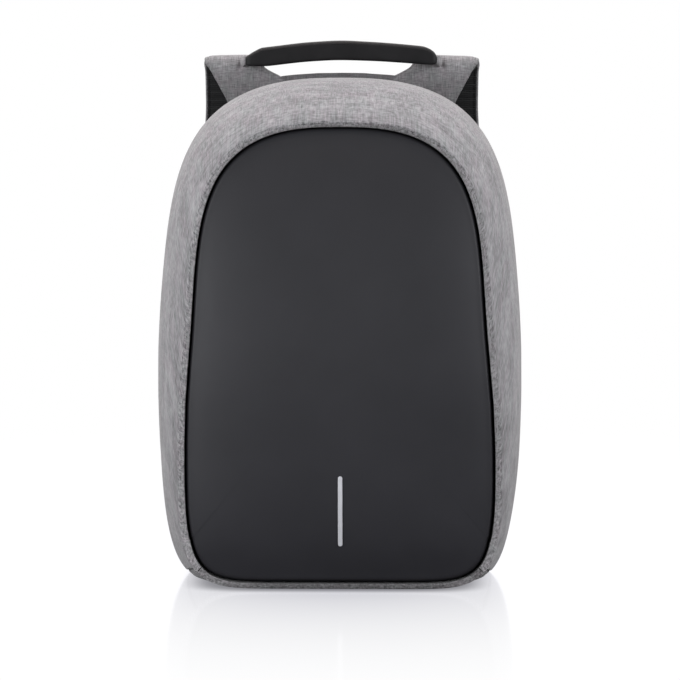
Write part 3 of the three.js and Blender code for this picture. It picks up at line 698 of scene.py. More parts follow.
def strip_material():
    """Satin reflective film with a faint bead grain."""
    s = Shader("reflective_film")
    at = s.place()
    beads = s.noise(at, 6.0, 2.0)
    soft = s.noise(at, 0.09, 2.0)
    colour = s.ramp(beads * 0.5 + soft * 0.5, [(0.35, (0.60, 0.60, 0.63)), (0.65, (0.72, 0.72, 0.75))])
    return s.finish(Base_Color=colour, Roughness=0.38, Normal=s.bump(beads, 0.15, 0.03))


# Each ramp of painted light and shade is two heights (or, for the one across, two places across) in
# millimetres and the factors there
HEATHER = heather_material(contrast=0.74, fleck=0.20, slow=0.22)
# Strap cloth painted darker below 408 mm and lighter above 430 mm: painted shade on the wings and painted
# light over the folds; the handle's tabs and core share it
STRAP_CLOTH_PAINTED_LIGHT_AND_SHADE = heather_material("heather_strap_painted_light_and_shade", 0.66, 0.95, run=1.6, painted_light_ramp=(408.0, 430.0, 0.86, 1.34))
# The yoke is the same heather painted darker: painted shade behind the arch and the handle
YOKE_CLOTH_PAINTED_SHADE = heather_material("heather_yoke_painted_shade", 0.48, 0.8)
# The rim's turned-in cloth is the same heather painted darker as shade, darker still towards its top, and
# painted lighter on the -X side as light
RIM_CLOTH_PAINTED_SHADE_AND_LIGHT = heather_material("heather_rim_painted_shade_and_light", 0.87, 1.15, 0.45, painted_light_ramp=(260.0, 360.0, 1.02, 0.94),
                               painted_light_across=(-60.0, 60.0, 1.22, 0.98))
# The base is the same heather painted darker as shade where it faces down, darkest at its foot as a painted
# contact shadow, and painted lighter on the -X side as light
BASE_CLOTH_PAINTED_SHADE_AND_LIGHT = heather_material("heather_base_painted_shade_and_light", 0.48, 1.25, 0.5, painted_light_ramp=(1.0, 5.5, 0.42, 1.0),
                              painted_light_across=(-125.0, -30.0, 1.40, 0.96))
# Near-black heather for the corner seams' thread, a painted shadow line along each wing's inner edge, and a
# dark line along the yoke's top edge
SEAM_AND_SHADOW_LINES = heather_material("heather_seam_and_shadow_lines", 0.16, 0.6)
# Black binding for the back panel's edge; on the shell it also lines the gap round the front panel as
# painted shadow
BINDING_AND_GAP_SHADE = webbing_material("edge_binding_and_gap_shade", 0.006)
BACK_MESH = mesh_material("back_air_mesh", 2.1)
ZIP_TAPE = webbing_material("zip_tape", 0.010)
THREAD = webbing_material("thread", 0.02)
PALE_THREAD = webbing_material("pale_thread", 0.16)
PANEL = panel_material()
AIR_MESH = mesh_material()
GRIP = grip_material()
WEBBING = webbing_material()
PLASTIC = plastic_material()
STRIP = strip_material()


# Camera and light


def look_along(thing, place, direction):
    """Puts a camera or lamp at a place and points it along a direction."""
    thing.location = place
    thing.rotation_mode = "QUATERNION"
    thing.rotation_quaternion = direction.to_track_quat("-Z", "Y")


def make_camera():
    data = bpy.data.cameras.new("camera")
    data.sensor_width = SENSOR
    data.lens = SENSOR * CAMERA_DISTANCE / CAMERA_FRAME
    data.clip_end = 100
    camera = add_object("camera", data)
    e, a = math.radians(CAMERA_ELEVATION), math.radians(CAMERA_AZIMUTH)
    back = Vector((math.sin(a) * math.cos(e), -math.cos(a) * math.cos(e), math.sin(e)))
    target = Vector(CAMERA_TARGET) + Vector((0, REAR, 0))
    look_along(camera, (target + back * CAMERA_DISTANCE) * MM, -back)
    bpy.context.scene.camera = camera


def area_light(name, place, target, size, power, colour):
    data = bpy.data.lights.new(name, "AREA")
    data.shape = "RECTANGLE"
    data.size, data.size_y = size
    data.energy = power
    data.color = colour
    look_along(add_object(name, data), place, Vector(target) - Vector(place))


def make_world():
    """Bright behind the bag like a lit backdrop, dim in front of it and below."""
    world = bpy.data.worlds.new("studio")
    bpy.context.scene.world = world
    world.use_nodes = True
    s = Nodes(world.node_tree)
    place = s.node("ShaderNodeTexCoord").outputs["Generated"]
    behind = s.graded(s.axis(place, "Y"), -0.1, 0.45, WORLD_FRONT, WORLD_BACK)
    below = s.graded(s.axis(place, "Z"), -0.35, 0.25, WORLD_BELOW, 1.0)
    seen = s.node("ShaderNodeLightPath").outputs["Is Camera Ray"]
    strength = s.node("ShaderNodeMix", Factor=seen, A=behind * below, B=1.0).outputs["Result"]
    background = s.tree.nodes["Background"]
    s.feed(background, "Color", WHITE)
    s.feed(background, "Strength", strength)


def make_floor():
    """A white floor with a soft reflection of the bag, and a soft shade under it."""
    s = Shader("white_floor")

    def blend(share, a, b):
        return s.node("ShaderNodeMixShader", i0=share, i1=a, i2=b).outputs[0]

    def glow(colour, strength):
        return s.node("ShaderNodeEmission", Color=colour, Strength=strength).outputs[0]

    place = s.place()
    distance = s.length(place)
    near = s.math("EXPONENT", distance / -FLOOR_FADE) * FLOOR_MIRROR
    glossy = s.node("ShaderNodeBsdfGlossy", Color=WHITE, Roughness=FLOOR_ROUGHNESS).outputs[0]
    mirror = s.node("ShaderNodeAddShader", i0=glossy, i1=glow(MIRROR_TINT, MIRROR_GLOW)).outputs[0]
    surface = blend(near, glow(WHITE, FLOOR_WHITE), mirror)
    reach = 0.0
    for axis, middle, half in SHADE_PRINT:
        share = s.math("ABSOLUTE", (s.axis(place, axis) - middle) / half)
        reach = s.math("POWER", share, SHADE_POWER) + reach
    under = s.graded(s.math("POWER", reach, 1 / SHADE_POWER), *SHADE_EDGE, FLOOR_SHADE, 0.0)
    surface = blend(under, surface, glow(SHADE_COLOUR, 1.0))
    clear = s.node("ShaderNodeBsdfTransparent").outputs[0]
    surface = blend(s.graded(distance, *FLOOR_EDGE, 0.0, 1.0), surface, clear)
    s.feed(s.tree.nodes["Material Output"], "Surface", surface)
    mesh = bpy.data.meshes.new("floor")
    mesh.from_pydata([(-1, -1, 0), (1, -1, 0), (1, 1, 0), (-1, 1, 0)], [], [(0, 1, 2, 3)])
    mesh.materials.append(s.material)
    floor = add_object("floor", mesh)
    floor.location.z = -FLOOR_DROP * MM
    floor.visible_diffuse = False
    floor.visible_glossy = False


def make_stage():
    """World, floor and lamps. Places and sizes of the lamps are in metres."""
    bpy.context.scene.view_settings.view_transform = "Standard"
    make_world()
    make_floor()
    area_light("key", (-1.7, -1.0, 1.0), LIT_POINT, (1.3, 1.5), KEY_POWER, COOL)
    area_light("fill", (1.7, -1.0, 0.9), LIT_POINT, (1.3, 1.5), FILL_POWER, COOL)
    area_light("side", (-1.25, -1.9, 0.5), LIT_POINT, (0.5, 1.4), SIDE_POWER, COOL)
    area_light("top", (-0.1, 0.85, 2.1), LIT_TOP, (1.6, 1.2), TOP_POWER, WARM)


make_camera()
make_stage()


# Pieces


def both_sides(shares):
    """Shares of the +X half of an outline, then those of its mirrored half."""
    return np.concatenate([shares, shares[-2:0:-1]])


def ring_lengths(ring):
    """Lengths along a closed ring from its first point."""
    step = np.linalg.norm(np.diff(ring, axis=0, prepend=ring[-1:]), axis=1)
    step[0] = 0
    return np.cumsum(step)


def section_lengths(points, column):
    """Lengths along one column of a grid."""
    step = np.linalg.norm(np.diff(points[:, column], axis=0), axis=1)
    return np.concatenate([[0], np.cumsum(step)])


def soften_rows(points, times):
    """Rounds the folds along the section, with the first and last rows held."""
    for _ in range(times):
        inner = 0.25 * points[:-2] + 0.5 * points[1:-1] + 0.25 * points[2:]
        points = np.concatenate([points[:1], inner, points[-1:]])
    return points


def between(a, b, steps):
    """Rows between two rows, without those two."""
    return [a + (b - a) * t for t in np.linspace(0, 1, steps + 2)[1:-1]]


def corner_share(along):
    """How much of the front's rounder lower corners a section of the shell has."""
    return max(0.0, 1 - along / FRONT_CORNER_END) ** 2


def seam_at(along):
    """Share of the outline where the corner seam is, at a share of the depth."""
    return CORNER_SEAM + (CORNER_SEAM_BACK - CORNER_SEAM) * min(along / 0.4, 1)


def corner_seam(points, shares, along):
    """Sinks the seam across each lower corner and sets the cloth below it in a little."""
    apart = (both_sides(shares) - seam_at(along)) * SEAM_STEPS
    groove = SEAM_DEPTH * bell(apart + 0.2, 0.5)
    below = SEAM_SET_IN * smooth(-apart) * gone(-apart, 6, 26)
    above = SEAM_ROLL * smooth(1 - apart / 2.6) * (apart > 0)
    inward = np.array(SEAM_CENTRE) - points
    inward /= np.linalg.norm(inward, axis=1)[:, None]
    moved = points + inward * (groove + below + above)[:, None] * gone(along, 0.5, 0.3)
    moved[:, 1] += SEAM_NOTCH * groove * gone(along, 0, 0.1)
    return moved


def shell_points(shares):
    """Rows of points round the shell's section, and each row's share of the depth."""
    crease = leaned(panel_ring(shares, RIM_INSET, RIM_INSET_BELOW), 0)
    turned = leaned(panel_ring(shares, PIECE_GAP, PIECE_GAP), 0)
    turned_back = RIM_DEPTH + PANEL_EDGE_ROLL + PANEL_THICK
    outside, depths = [], []
    for along, grow, inset in fine_rows(SHELL_OUTSIDE, 7):
        full = body_ring(shares, inset * BACK_ROUNDING, max(inset, 0) * BACK_ROUNDING / 2,
                         corner_share(along))
        ring = crease + (leaned(full, along) - crease) * grow
        place = at_depth(ring, front_y(ring[:, 1]) * (1 - along) + SHELL_BACK * along)
        outside.append(corner_seam(place, shares, along))
        depths.append(along)
    inside = []
    for along, grow, inset in fine_rows(SHELL_INSIDE, 2):
        full = body_ring(shares, WALL + inset * BACK_ROUNDING, WALL + inset * BACK_ROUNDING / 2,
                         corner_share(along))
        ring = turned + (full - turned) * grow
        y = (front_y(ring[:, 1]) + turned_back) * (1 - along) + SHELL_BACK * along
        inside.append(at_depth(ring, y))
    edge = at_depth(turned, front_y(turned[:, 1]) + RIM_DEPTH)
    wall = [edge + [0, d, 0] for d in (turned_back - RIM_DEPTH) * np.array([0.75, 0.5, 0.25, 0.1])]
    crease_row = at_depth(crease, front_y(crease[:, 1]))
    turn = [corner_seam(row, shares, 0) for row in between(edge, crease_row, 6)]
    front = [*inside[-1:], *wall, edge, *turn, *outside]
    front = soften_rows(np.array(front), 2)
    back = [*between(front[-1], inside[0], 2), *inside[:-1]]
    return np.concatenate([front, np.array(back)]), np.array([0] * (len(front) - len(depths)) + depths)


def shell_piece():
    """The padded shell: black rows at its bound edges that also paint the shadow in the gap round the front
    panel, its rim painted darker as shade, and the base cloth below the corner seams, painted darker as
    shade.
    """
    shares = np.unique(np.concatenate([np.linspace(0, 1, 190), SEAM_SHARES]))
    points, depths = shell_points(shares)
    rows, columns = points.shape[:2]
    u = ring_lengths(points[30])
    v = section_lengths(points, columns // 4)
    uv = np.stack(np.broadcast_arrays(u[None, :], v[:, None]), 2)
    around = both_sides(shares)
    rim, binding_and_gap_shade, base, thread = np.zeros((4, rows, columns), bool)
    # The rim rows and the base are painted darker as shade; the black rows at the front paint the shadow in
    # the gap round the panel
    rim[RIM_ROW:RIM_ROW + 7] = True
    binding_and_gap_shade[:RIM_ROW] = binding_and_gap_shade[-12:] = True
    for row in range(RIM_ROW, len(depths)):
        seam = seam_at(depths[row])
        base[row] = (around < seam) & (np.roll(around, -1) < seam)
        thread[row] = np.abs(around - seam) < SEAM_THREAD
    paint = [(RIM_CLOTH_PAINTED_SHADE_AND_LIGHT, rim), (BINDING_AND_GAP_SHADE, binding_and_gap_shade), (BASE_CLOTH_PAINTED_SHADE_AND_LIGHT, base), (SEAM_AND_SHADOW_LINES, thread)]
    piece = grid_piece("shell_cloth", points, uv, HEATHER, close_rows=True, poles=False,
                       paint=paint)
    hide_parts("shell")


def panel_piece():
    """The domed front panel, set into the shell's rim."""
    shares = np.linspace(0, 1, 150)
    outline = panel_ring(shares, 0, 0)
    visible = panel_ring(shares, -PANEL_EDGE_GAP, -PANEL_EDGE_GAP)
    scales = np.concatenate([
        1 - np.array([0, 0.0012, 0.0028, 0.0048, 0.0072, 0.01, 0.0135, 0.018, 0.024, 0.031, 0.04, 0.052]),
        np.linspace(0.935, 0.05, 34),
    ])

    def ring(scale, offset, edge=outline):
        z = PANEL_MIDDLE + scale * (edge[:, 1] - PANEL_MIDDLE)
        y = front_y(z) + RIM_DEPTH + offset
        moved = leaned(np.stack([scale * edge[:, 0], z], 1), 0)
        return np.stack([moved[:, 0], y, z], 1)

    def rise(scale):
        return np.interp(scale, *RISE_CURVE) * PANEL_DOME

    front = [ring(scale, -rise(scale), visible) for scale in scales[::-1]]
    edge = [ring(1, PANEL_EDGE_ROLL + d, visible) for d in (1.0, 2.0, 3.0)]
    edge += [ring(1, PANEL_EDGE_ROLL + d) for d in (3.6, PANEL_THICK - PIECE_GAP)]
    back = [ring(scale, PANEL_THICK - rise(scale)) for scale in (0.985, 0.95, 0.88, 0.75, 0.55, 0.3, 0.1)]
    points = np.concatenate([soften_rows(np.array(front + edge), 2), back])
    piece = grid_piece("front_panel_cloth", points, points[:, :, [0, 2]], PANEL)
    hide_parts("front_panel")


def panel_front(z):
    """Front of the panel on its middle line at a height."""
    scale = np.where(z < PANEL_MIDDLE, (PANEL_MIDDLE - z) / (PANEL_MIDDLE - PANEL_BOTTOM),
                     (z - PANEL_MIDDLE) / (PANEL_TOP - PANEL_MIDDLE))
    return front_y(z) + RIM_DEPTH - np.interp(scale, *RISE_CURVE) * PANEL_DOME


def strip_piece():
    """Raised satin film with round ends that follows the panel."""
    half = STRIP_WIDTH / 2
    ends = half * (1 - np.cos(np.linspace(0, math.pi / 2, 9)))
    straight = np.linspace(half, STRIP_LENGTH - half, 30)[1:-1]
    places = np.concatenate([ends, straight, STRIP_LENGTH - ends[::-1]])
    across = np.array([-1, -1, -0.96, -0.8, 0, 0.8, 0.96, 1, 1, 0])
    out = np.array([0, 0.4, 0.55, STRIP_THICK, STRIP_THICK, STRIP_THICK, 0.55, 0.4, 0, 0])
    rows = []
    for place in places:
        near_end = min(place, STRIP_LENGTH - place)
        reach = math.sqrt(max(half**2 - max(half - near_end, 0) ** 2, 0.01))
        z = STRIP_FOOT + place
        back = float(panel_front(np.array(z))) - STRIP_CLEAR
        rows.append(np.stack([STRIP_ASIDE + across * reach, back - out, np.full(len(out), z)], 1))
    points = np.array(rows)
    piece = grid_piece("reflective_film", points, points[:, :, [0, 2]], STRIP)
    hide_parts("reflective_strip")


# Straps


def resample(path, step):
    """The columns of a path at even steps along its run (its first two columns)."""
    path = np.array(path, float)
    along = np.concatenate([[0], np.cumsum(np.hypot(*np.diff(path[:, :2], axis=0).T))])
    table = np.hstack([along[:, None], path])
    at = np.linspace(0, along[-1], int(along[-1] / step) + 1)
    columns = [np.interp(at, *curve_through(table, c, 12)) for c in range(1, table.shape[1])]
    return np.stack(columns, 1), at


def runs_of(path):
    """Unit steps along a path (its first two columns)."""
    step = np.gradient(path[:, :2], axis=0)
    return step / np.linalg.norm(step, axis=1)[:, None]


def fold_point(turn):
    """Depth and height of a strap's middle over its fold, from the wing (0) to the hanging side (1)."""
    angle = math.pi * (1 - turn)
    return YOKE_Y + FOLD_RADIUS + FOLD_RADIUS * math.cos(angle), FOLD_Z + FOLD_RADIUS * math.sin(angle)


# Strap edges, as shares of its width: inner edge out from STRAP_INNER and outer edge in from
# STRAP_OUTER, by the rise of the wing and by the turn over the fold
WING_RISE = [
    (0.00, -0.85, 0.40), (0.55, -0.72, 0.34), (0.80, -0.50, 0.20), (0.95, -0.24, 0.10),
    (1.00, -0.12, 0.07),
]
WING_FOLD = [
    (0.12, 0.00, 0.02), (0.28, 0.02, -0.03), (0.45, 0.02, -0.05), (0.62, 0.02, -0.055),
    (0.80, 0.02, -0.068), (1.00, 0.02, -0.055),
]
# How far the inner edge lies out on each side, on the wing and on the hanging part
WING_LEAN = {-1: 0.09, 1: -0.05}
DROP_LEAN = {-1: 0.09, 1: 0.0}
# The hanging part by its share of the way down: bow, inner edge out, outer edge out
STRAP_DROP = [
    (0.00, 0.00, -0.02, 0.055), (0.14, 0.22, -0.02, 0.05), (0.32, 0.64, 0.02, 0.12),
    (0.50, 0.95, 0.06, 0.20), (0.66, 1.00, 0.12, 0.20), (0.80, 0.80, 0.22, 0.12),
    (0.92, 0.45, 0.34, 0.00), (1.00, 0.20, 0.44, -0.10),
]


def fold_path(side):
    """The strap over its fold. The lean of the wing's inner edge goes on into the hanging part."""
    rows = []
    for turn, inner, outer in WING_FOLD:
        inner += DROP_LEAN[side] + (WING_LEAN[side] - DROP_LEAN[side]) * float(gone(turn, 0, 0.4))
        rows.append((*fold_point(turn), STRAP_INNER + inner * STRAP_WIDTH,
                     STRAP_OUTER - outer * STRAP_WIDTH))
    return rows


def wing_path(side):
    """The strap's raised wing behind the arch and its fold."""
    rows = []
    for up, inner, outer in WING_RISE:
        inner += WING_LEAN[side] * float(smooth((up - 0.5) / 0.3))
        rows.append((YOKE_Y, YOKE_FOOT + up * (FOLD_Z - YOKE_FOOT), STRAP_INNER + inner * STRAP_WIDTH,
                     STRAP_OUTER - outer * STRAP_WIDTH))
    return rows + fold_path(side)


def drop_path(side):
    """The hanging part of a strap."""
    rows = []
    columns = [curve_through(STRAP_DROP, c) for c in (1, 2, 3)]
    for down in np.linspace(0, 1, 17):
        bow, inner, outer = (np.interp(down, *column) for column in columns)
        inner += DROP_LEAN[side] * float(gone(down, 0, 0.2))
        rows.append((STRAP_Y + bow * STRAP_BOW, FOLD_Z + down * (STRAP_END - FOLD_Z),
                     STRAP_INNER + inner * STRAP_WIDTH, STRAP_OUTER + outer * STRAP_WIDTH))
    return rows


# Half section of a strap from its edge inward: distance in from the edge, outer height and inner height
# as shares of the half thickness. The dip is the row of stitches along the edge.
STRAP_SECTION = [
    (0.00, 0.00, 0.00), (0.12, 0.22, -0.26), (0.45, 0.40, -0.45), (1.10, 0.52, -0.54), (1.90, 0.60, -0.60),
    (2.50, 0.60, -0.62), (2.90, 0.57, -0.64), (3.30, 0.64, -0.68), (4.20, 0.78, -0.78), (6.50, 0.92, -0.92),
    (10.5, 0.98, -1.00), (17.0, 1.00, -1.00),
]


def full_section(a, upper, lower, width, middle=()):
    """Across and out of a section all the way round, from its half: places in from the edge and heights."""
    flat = np.ones(len(middle))
    across = [a, middle, (width - a)[::-1], (width - a)[1:], middle[::-1], a[::-1][:-1]]
    out = [upper, flat, upper[::-1], lower[1:], -flat, lower[::-1][:-1]]
    return np.concatenate(across), np.concatenate(out)


def strap_ring(width, half):
    """Section of a strap, with a flat middle."""
    a, upper, lower = np.array(STRAP_SECTION).T
    a = a * min(1.0, 0.42 * width / a[-1])
    across, out = full_section(a, upper, lower, width, np.linspace(a[-1], width - a[-1], 36)[1:-1])
    return across, out * half


def sweep(name, path, thick, material, side, ring, step, move=None, paint=None):
    """A flat band swept along rows of y, z, inner edge and outer edge.

    Its outer face looks to the front on the wings and to the back below the fold.
    """
    path, along = resample(path, step)
    runs = runs_of(path)
    rows, uv = [], []
    for (y, z, inner, outer), (run_y, run_z), length in zip(path, runs, along):
        across, out = ring(outer - inner, thick / 2)
        x = side * (inner + across)
        rows.append(np.stack([x, y - run_z * out, z + run_y * out], 1))
        uv.append(np.stack([inner + across, np.full(len(x), length)], 1))
    points = np.array(rows)
    if move:
        points = move(points, np.array(uv))
    return grid_piece(name, points, np.array(uv), material, paint=paint(points) if paint else ())


def droop(points, side):
    """The folded top of a strap sits lower towards its outer edge."""
    out = np.clip((side * points[..., 0] - STRAP_INNER) / STRAP_WIDTH, -0.2, 1.1)
    high = np.clip((points[..., 2] - FOLD_Z) / 14, 0, 1)
    points[..., 2] -= high * (FOLD_DROOP[side] * np.maximum(out, 0) ** 1.3)
    return points


def pucker(points, side):
    """Where the handle is sewn to a wing: an upright pleat over a stitched dimple with small creases.

    dx and dz are millimetres from the middle of that seam. Each form has its height, its place and its
    width, and + y is into the wing.
    """
    dx = side * points[..., 0] - HANDLE_SEAM_X
    dz = points[..., 2] - HANDLE_SEAM_Z
    front = np.clip((8 - points[..., 1]) / 6, 0, 1)
    dimple = 2.0 * np.exp(-(dx**2 / 7 + dz**2 / 5))
    bow = dz + 3.5 - 0.035 * dx**2 - 0.025 * np.minimum(dx, 0) ** 2
    crease = (-0.9 * bell(bow, 0.7) + 0.8 * bell(bow - 1.7, 0.9)) * plateau(dx - 1.5, 7.5)
    lip = -0.7 * bell(dz - 0.8, 0.6) * plateau(dx - 4.8, 3.4)
    pleat = (-1.7 * bell(dx + 1.2, 1.2) + 1.3 * bell(dx - 0.9, 0.8)) * plateau(dz - 5.0, 4.6)
    points[..., 1] += (dimple + crease + lip + pleat) * front
    return points


def ripple(points, size, height, seed):
    """Slow unevenness of padded cloth, moved along depth and height."""
    flat = points.reshape(-1, 3)
    for p in flat:
        at = Vector((p[0] / size + seed, p[1] / size, p[2] / size))
        p[1] += height * noise.noise(at)
        p[2] += 0.5 * height * noise.noise(at + Vector((9.2, 3.1, 4.7)))
    return points


def edge_stitches(name, points):
    """Stitches along both edges of a strap's outer face, from its wing to its end."""
    rows = points[STITCHED_ROWS]
    opposite = points.shape[1] // 2 - EDGE_ROW
    for place, column in (("inner", EDGE_ROW), ("outer", opposite)):
        path = rows[:, column]
        out = np.cross(rows[:, column + 1] - rows[:, column - 1], np.gradient(path, axis=0))
        out /= np.linalg.norm(out, axis=1)[:, None]
        facing = np.sign(np.sum(out * (path - rows.mean(1)), 1))
        stitch_row(f"strap_stitches_{place}_{name}", path, out * np.median(facing), PALE_THREAD)


def box_stitches(name, x, low, high, half, y):
    """A sewn box with a cross on webbing, seen from behind."""
    left, right = x - half, x + half
    box = [(left, low), (right, low), (right, high), (left, high), (left, low), (right, high)]
    for number, run in enumerate((box, [(left, high), (right, low)])):
        path = [(a, y, b) for a, b in run]
        stitch_row(f"box_stitches_{name}_{number}", path, [(0, 1, 0)] * len(path), THREAD, 2.0, 0.7)


def strap_piece(name, side):
    """A padded shoulder strap with its wing, a painted shadow line along the wing's inner edge, and its
    stitches.
    """
    def move(points, uv):
        points = ripple(points, 26, 0.5, 3.7 * side)
        return pucker(droop(points, side), side)

    def paint(points):
        edge = np.zeros(points.shape[:2], bool)
        wing = np.arange(len(points)) < WING_ROWS
        # Painted shadow line along the wing's inner edge
        edge[wing, :2] = edge[wing, -2:] = True
        edge_stitches(name, points)
        return [(SEAM_AND_SHADOW_LINES, edge)]

    piece = sweep(f"strap_cloth_{name}", wing_path(side) + drop_path(side)[1:], STRAP_THICK, STRAP_CLOTH_PAINTED_LIGHT_AND_SHADE,
                  side, strap_ring, 0.75, move, paint)
    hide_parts(f"strap_{name}", "yoke")


def mesh_ring(width, half):
    """Section of the mesh lining with a bound edge."""
    a = np.array([0, 0.15, 0.6, 1.4, 2.2, 2.6, 3.2, 5, 9, 16])
    a = a * min(1.0, width / 2 / a[-1])
    out = np.array([0, 0.7, 1.0, 1.0, 0.9, 0.55, 0.75, 0.9, 0.95, 1.0])
    across, out = full_section(a, out, -out, width)
    return across, out * half


def mesh_piece(name, side):
    """The ribbed lining under a strap, from its fold down."""
    sink = STRAP_THICK / 2 + MESH_GAP + MESH_THICK / 2
    path, _ = resample(fold_path(side)[:-1] + drop_path(side), 5)
    runs = runs_of(path)
    rows = []
    for (y, z, inner, outer), (run_y, run_z) in zip(path[:-1], runs):
        rows.append((y + run_z * sink, z - run_y * sink, inner + MESH_MARGIN, outer - MESH_EDGE))

    def move(points, uv):
        points[..., 1] -= MESH_RIB * np.sin(2 * math.pi * uv[..., 1] / MESH_PITCH)
        return droop(points, side)

    piece = sweep(f"strap_mesh_cloth_{name}", rows, MESH_THICK, AIR_MESH, side, mesh_ring,
                  0.45, move)
    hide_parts(f"strap_mesh_{name}")


def yoke_piece():
    """The low band behind the arch between the two wings."""
    reach = STRAP_INNER + 0.1 * STRAP_WIDTH
    xs = np.linspace(-reach, reach, 61)
    top = np.interp(np.abs(xs) / reach, [0, 0.3, 0.6, 0.75, 1.0],
                    YOKE_BAND_TOP + YOKE_BAND_DIP * np.array([0.0, -0.1, -0.6, -1.0, -2.4]))
    height = np.array([0, 0.2, 0.5, 0.8, 0.93, 0.955, 0.975, 0.99, 0.998, 1.0, 0.998, 0.99, 0.95, 0.7,
                       0.3, 0.0])
    out = np.array([1, 1, 1, 1, 0.92, 0.6, 0.8, 0.7, 0.4, 0, -0.4, -0.7, -1, -1, -1, -1.0])
    half = STRAP_THICK / 2 - PIECE_GAP
    points = np.zeros((len(xs), len(height), 3))
    points[..., 0] = xs[:, None]
    points[..., 1] = YOKE_Y - out[None, :] * half
    points[..., 2] = YOKE_FOOT + (top[:, None] - YOKE_FOOT) * height[None, :]
    uv = np.stack([points[..., 0], points[..., 2] + points[..., 1]], 2)
    # A dark line along the yoke's top edge
    top_line = np.zeros(points.shape[:2], bool)
    top_line[:, 7:11] = True
    piece = grid_piece("yoke_cloth", ripple(points, 22, 0.35, 5.5), uv, YOKE_CLOTH_PAINTED_SHADE,
                       paint=[(SEAM_AND_SHADOW_LINES, top_line)])
    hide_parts("yoke")


# Handle sleeve: share of the half length, height of its top and of its foot
GRIP_PROFILE = [
    (-1.000, 428.6, 422.9), (-0.990, 429.8, 422.2), (-0.975, 430.6, 421.9), (-0.930, 433.0, 421.7),
    (-0.840, 436.8, 421.6), (-0.780, 437.7, 421.7), (-0.735, 438.1, 422.0), (-0.426, 441.0, 424.8),
    (-0.200, 442.4, 426.2), (-0.060, 443.0, 426.7), (0.060, 443.0, 426.7), (0.200, 442.5, 426.4),
    (0.412, 441.5, 425.7), (0.780, 439.0, 423.7), (0.868, 438.0, 423.1), (0.927, 436.0, 422.9),
    (0.970, 433.4, 423.2), (0.994, 430.4, 424.3), (1.000, 428.2, 425.8),
]


def grip_piece():
    """Padded sleeve with a flat bevel along the top of its front and back."""
    half = GRIP_LENGTH / 2
    table = np.array(GRIP_PROFILE)
    stops = [curve_through(table, c, 8) for c in (1, 2)]
    fine = np.concatenate([-1 + 0.06 * np.linspace(0, 1, 12) ** 2, np.linspace(-0.93, 0.93, 90),
                           1 - 0.06 * np.linspace(1, 0, 12) ** 2])
    ring = np.array([
        (-1.0, -0.6), (-1.0, -0.2), (-1.0, 0.30), (-0.99, 0.52), (-0.96, 0.60), (-0.86, 0.72),
        (-0.72, 0.84), (-0.60, 0.93), (-0.48, 0.975), (-0.3, 1.0), (0.3, 1.0), (0.48, 0.975),
        (0.60, 0.93), (0.72, 0.84), (0.86, 0.72), (0.96, 0.60), (0.99, 0.52), (1.0, 0.30),
        (1.0, -0.2), (1.0, -0.6), (0.97, -0.84), (0.88, -0.95), (0.65, -1.0), (0.3, -1.0),
        (-0.3, -1.0), (-0.65, -1.0), (-0.88, -0.95), (-0.97, -0.84),
    ])
    rows = []
    for share in fine:
        top, foot = (np.interp(share, *stop) for stop in stops)
        taper = 1 - min(max((abs(share) - 0.93) / 0.07, 0), 1) ** 3 * 0.4
        deep = GRIP_DEPTH / 2 * taper
        rows.append(np.stack([np.full(len(ring), share * half), GRIP_Y + ring[:, 0] * deep,
                              (top + foot) / 2 + ring[:, 1] * (top - foot) / 2], 1))
    points = ripple(np.array(rows), 30, 0.25, 1.3)
    around = np.concatenate([[0], np.cumsum(np.linalg.norm(np.diff(ring * [6.5, 8], axis=0), axis=1))])
    uv = np.stack(np.broadcast_arrays(fine[:, None] * half, around[None, :]), 2)
    piece = grid_piece("grip_sleeve", points, uv, GRIP)
    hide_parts("handle_grip")


def webbing_ring(width, half):
    """Section of a webbing with rounded edges and a shallow groove near each."""
    a = np.array([0, 0.06, 0.25, 0.6, 1.2, 2.5, 5, 8, width / 2])
    a = np.minimum(a, width / 2)
    out = np.array([0, 0.45, 0.8, 0.97, 1, 0.96, 1, 1, 1])
    across = np.concatenate([a, (width - a)[::-1][1:], (width - a)[1:], a[::-1][1:-1]])
    return across, np.concatenate([out, out[::-1][1:], -out[1:], -out[::-1][1:-1]]) * half


def band_piece():
    """Webbing core of the handle, inside its sleeve."""
    half = GRIP_LENGTH / 2
    xs = np.linspace(-half + BAND_INSET, half - BAND_INSET, 40)
    z = GRIP_TOP - GRIP_HEIGHT / 2 - GRIP_SAG * (xs / half) ** 2
    ring = np.array([
        (-1, -0.7), (-1, 0.7), (-0.7, 1), (0.7, 1), (1, 0.7), (1, -0.7), (0.7, -1), (-0.7, -1),
    ])
    points = np.zeros((len(xs), len(ring), 3))
    points[..., 0] = xs[:, None]
    points[..., 1] = GRIP_Y + ring[None, :, 0] * BAND_THICK / 2
    points[..., 2] = z[:, None] + ring[None, :, 1] * BAND_HEIGHT / 2
    uv = np.stack(np.broadcast_arrays(ring[None, :, 1] * 2, xs[:, None]), 2)
    piece = grid_piece("handle_core", points, uv, STRAP_CLOTH_PAINTED_LIGHT_AND_SHADE)
    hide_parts("handle_band")


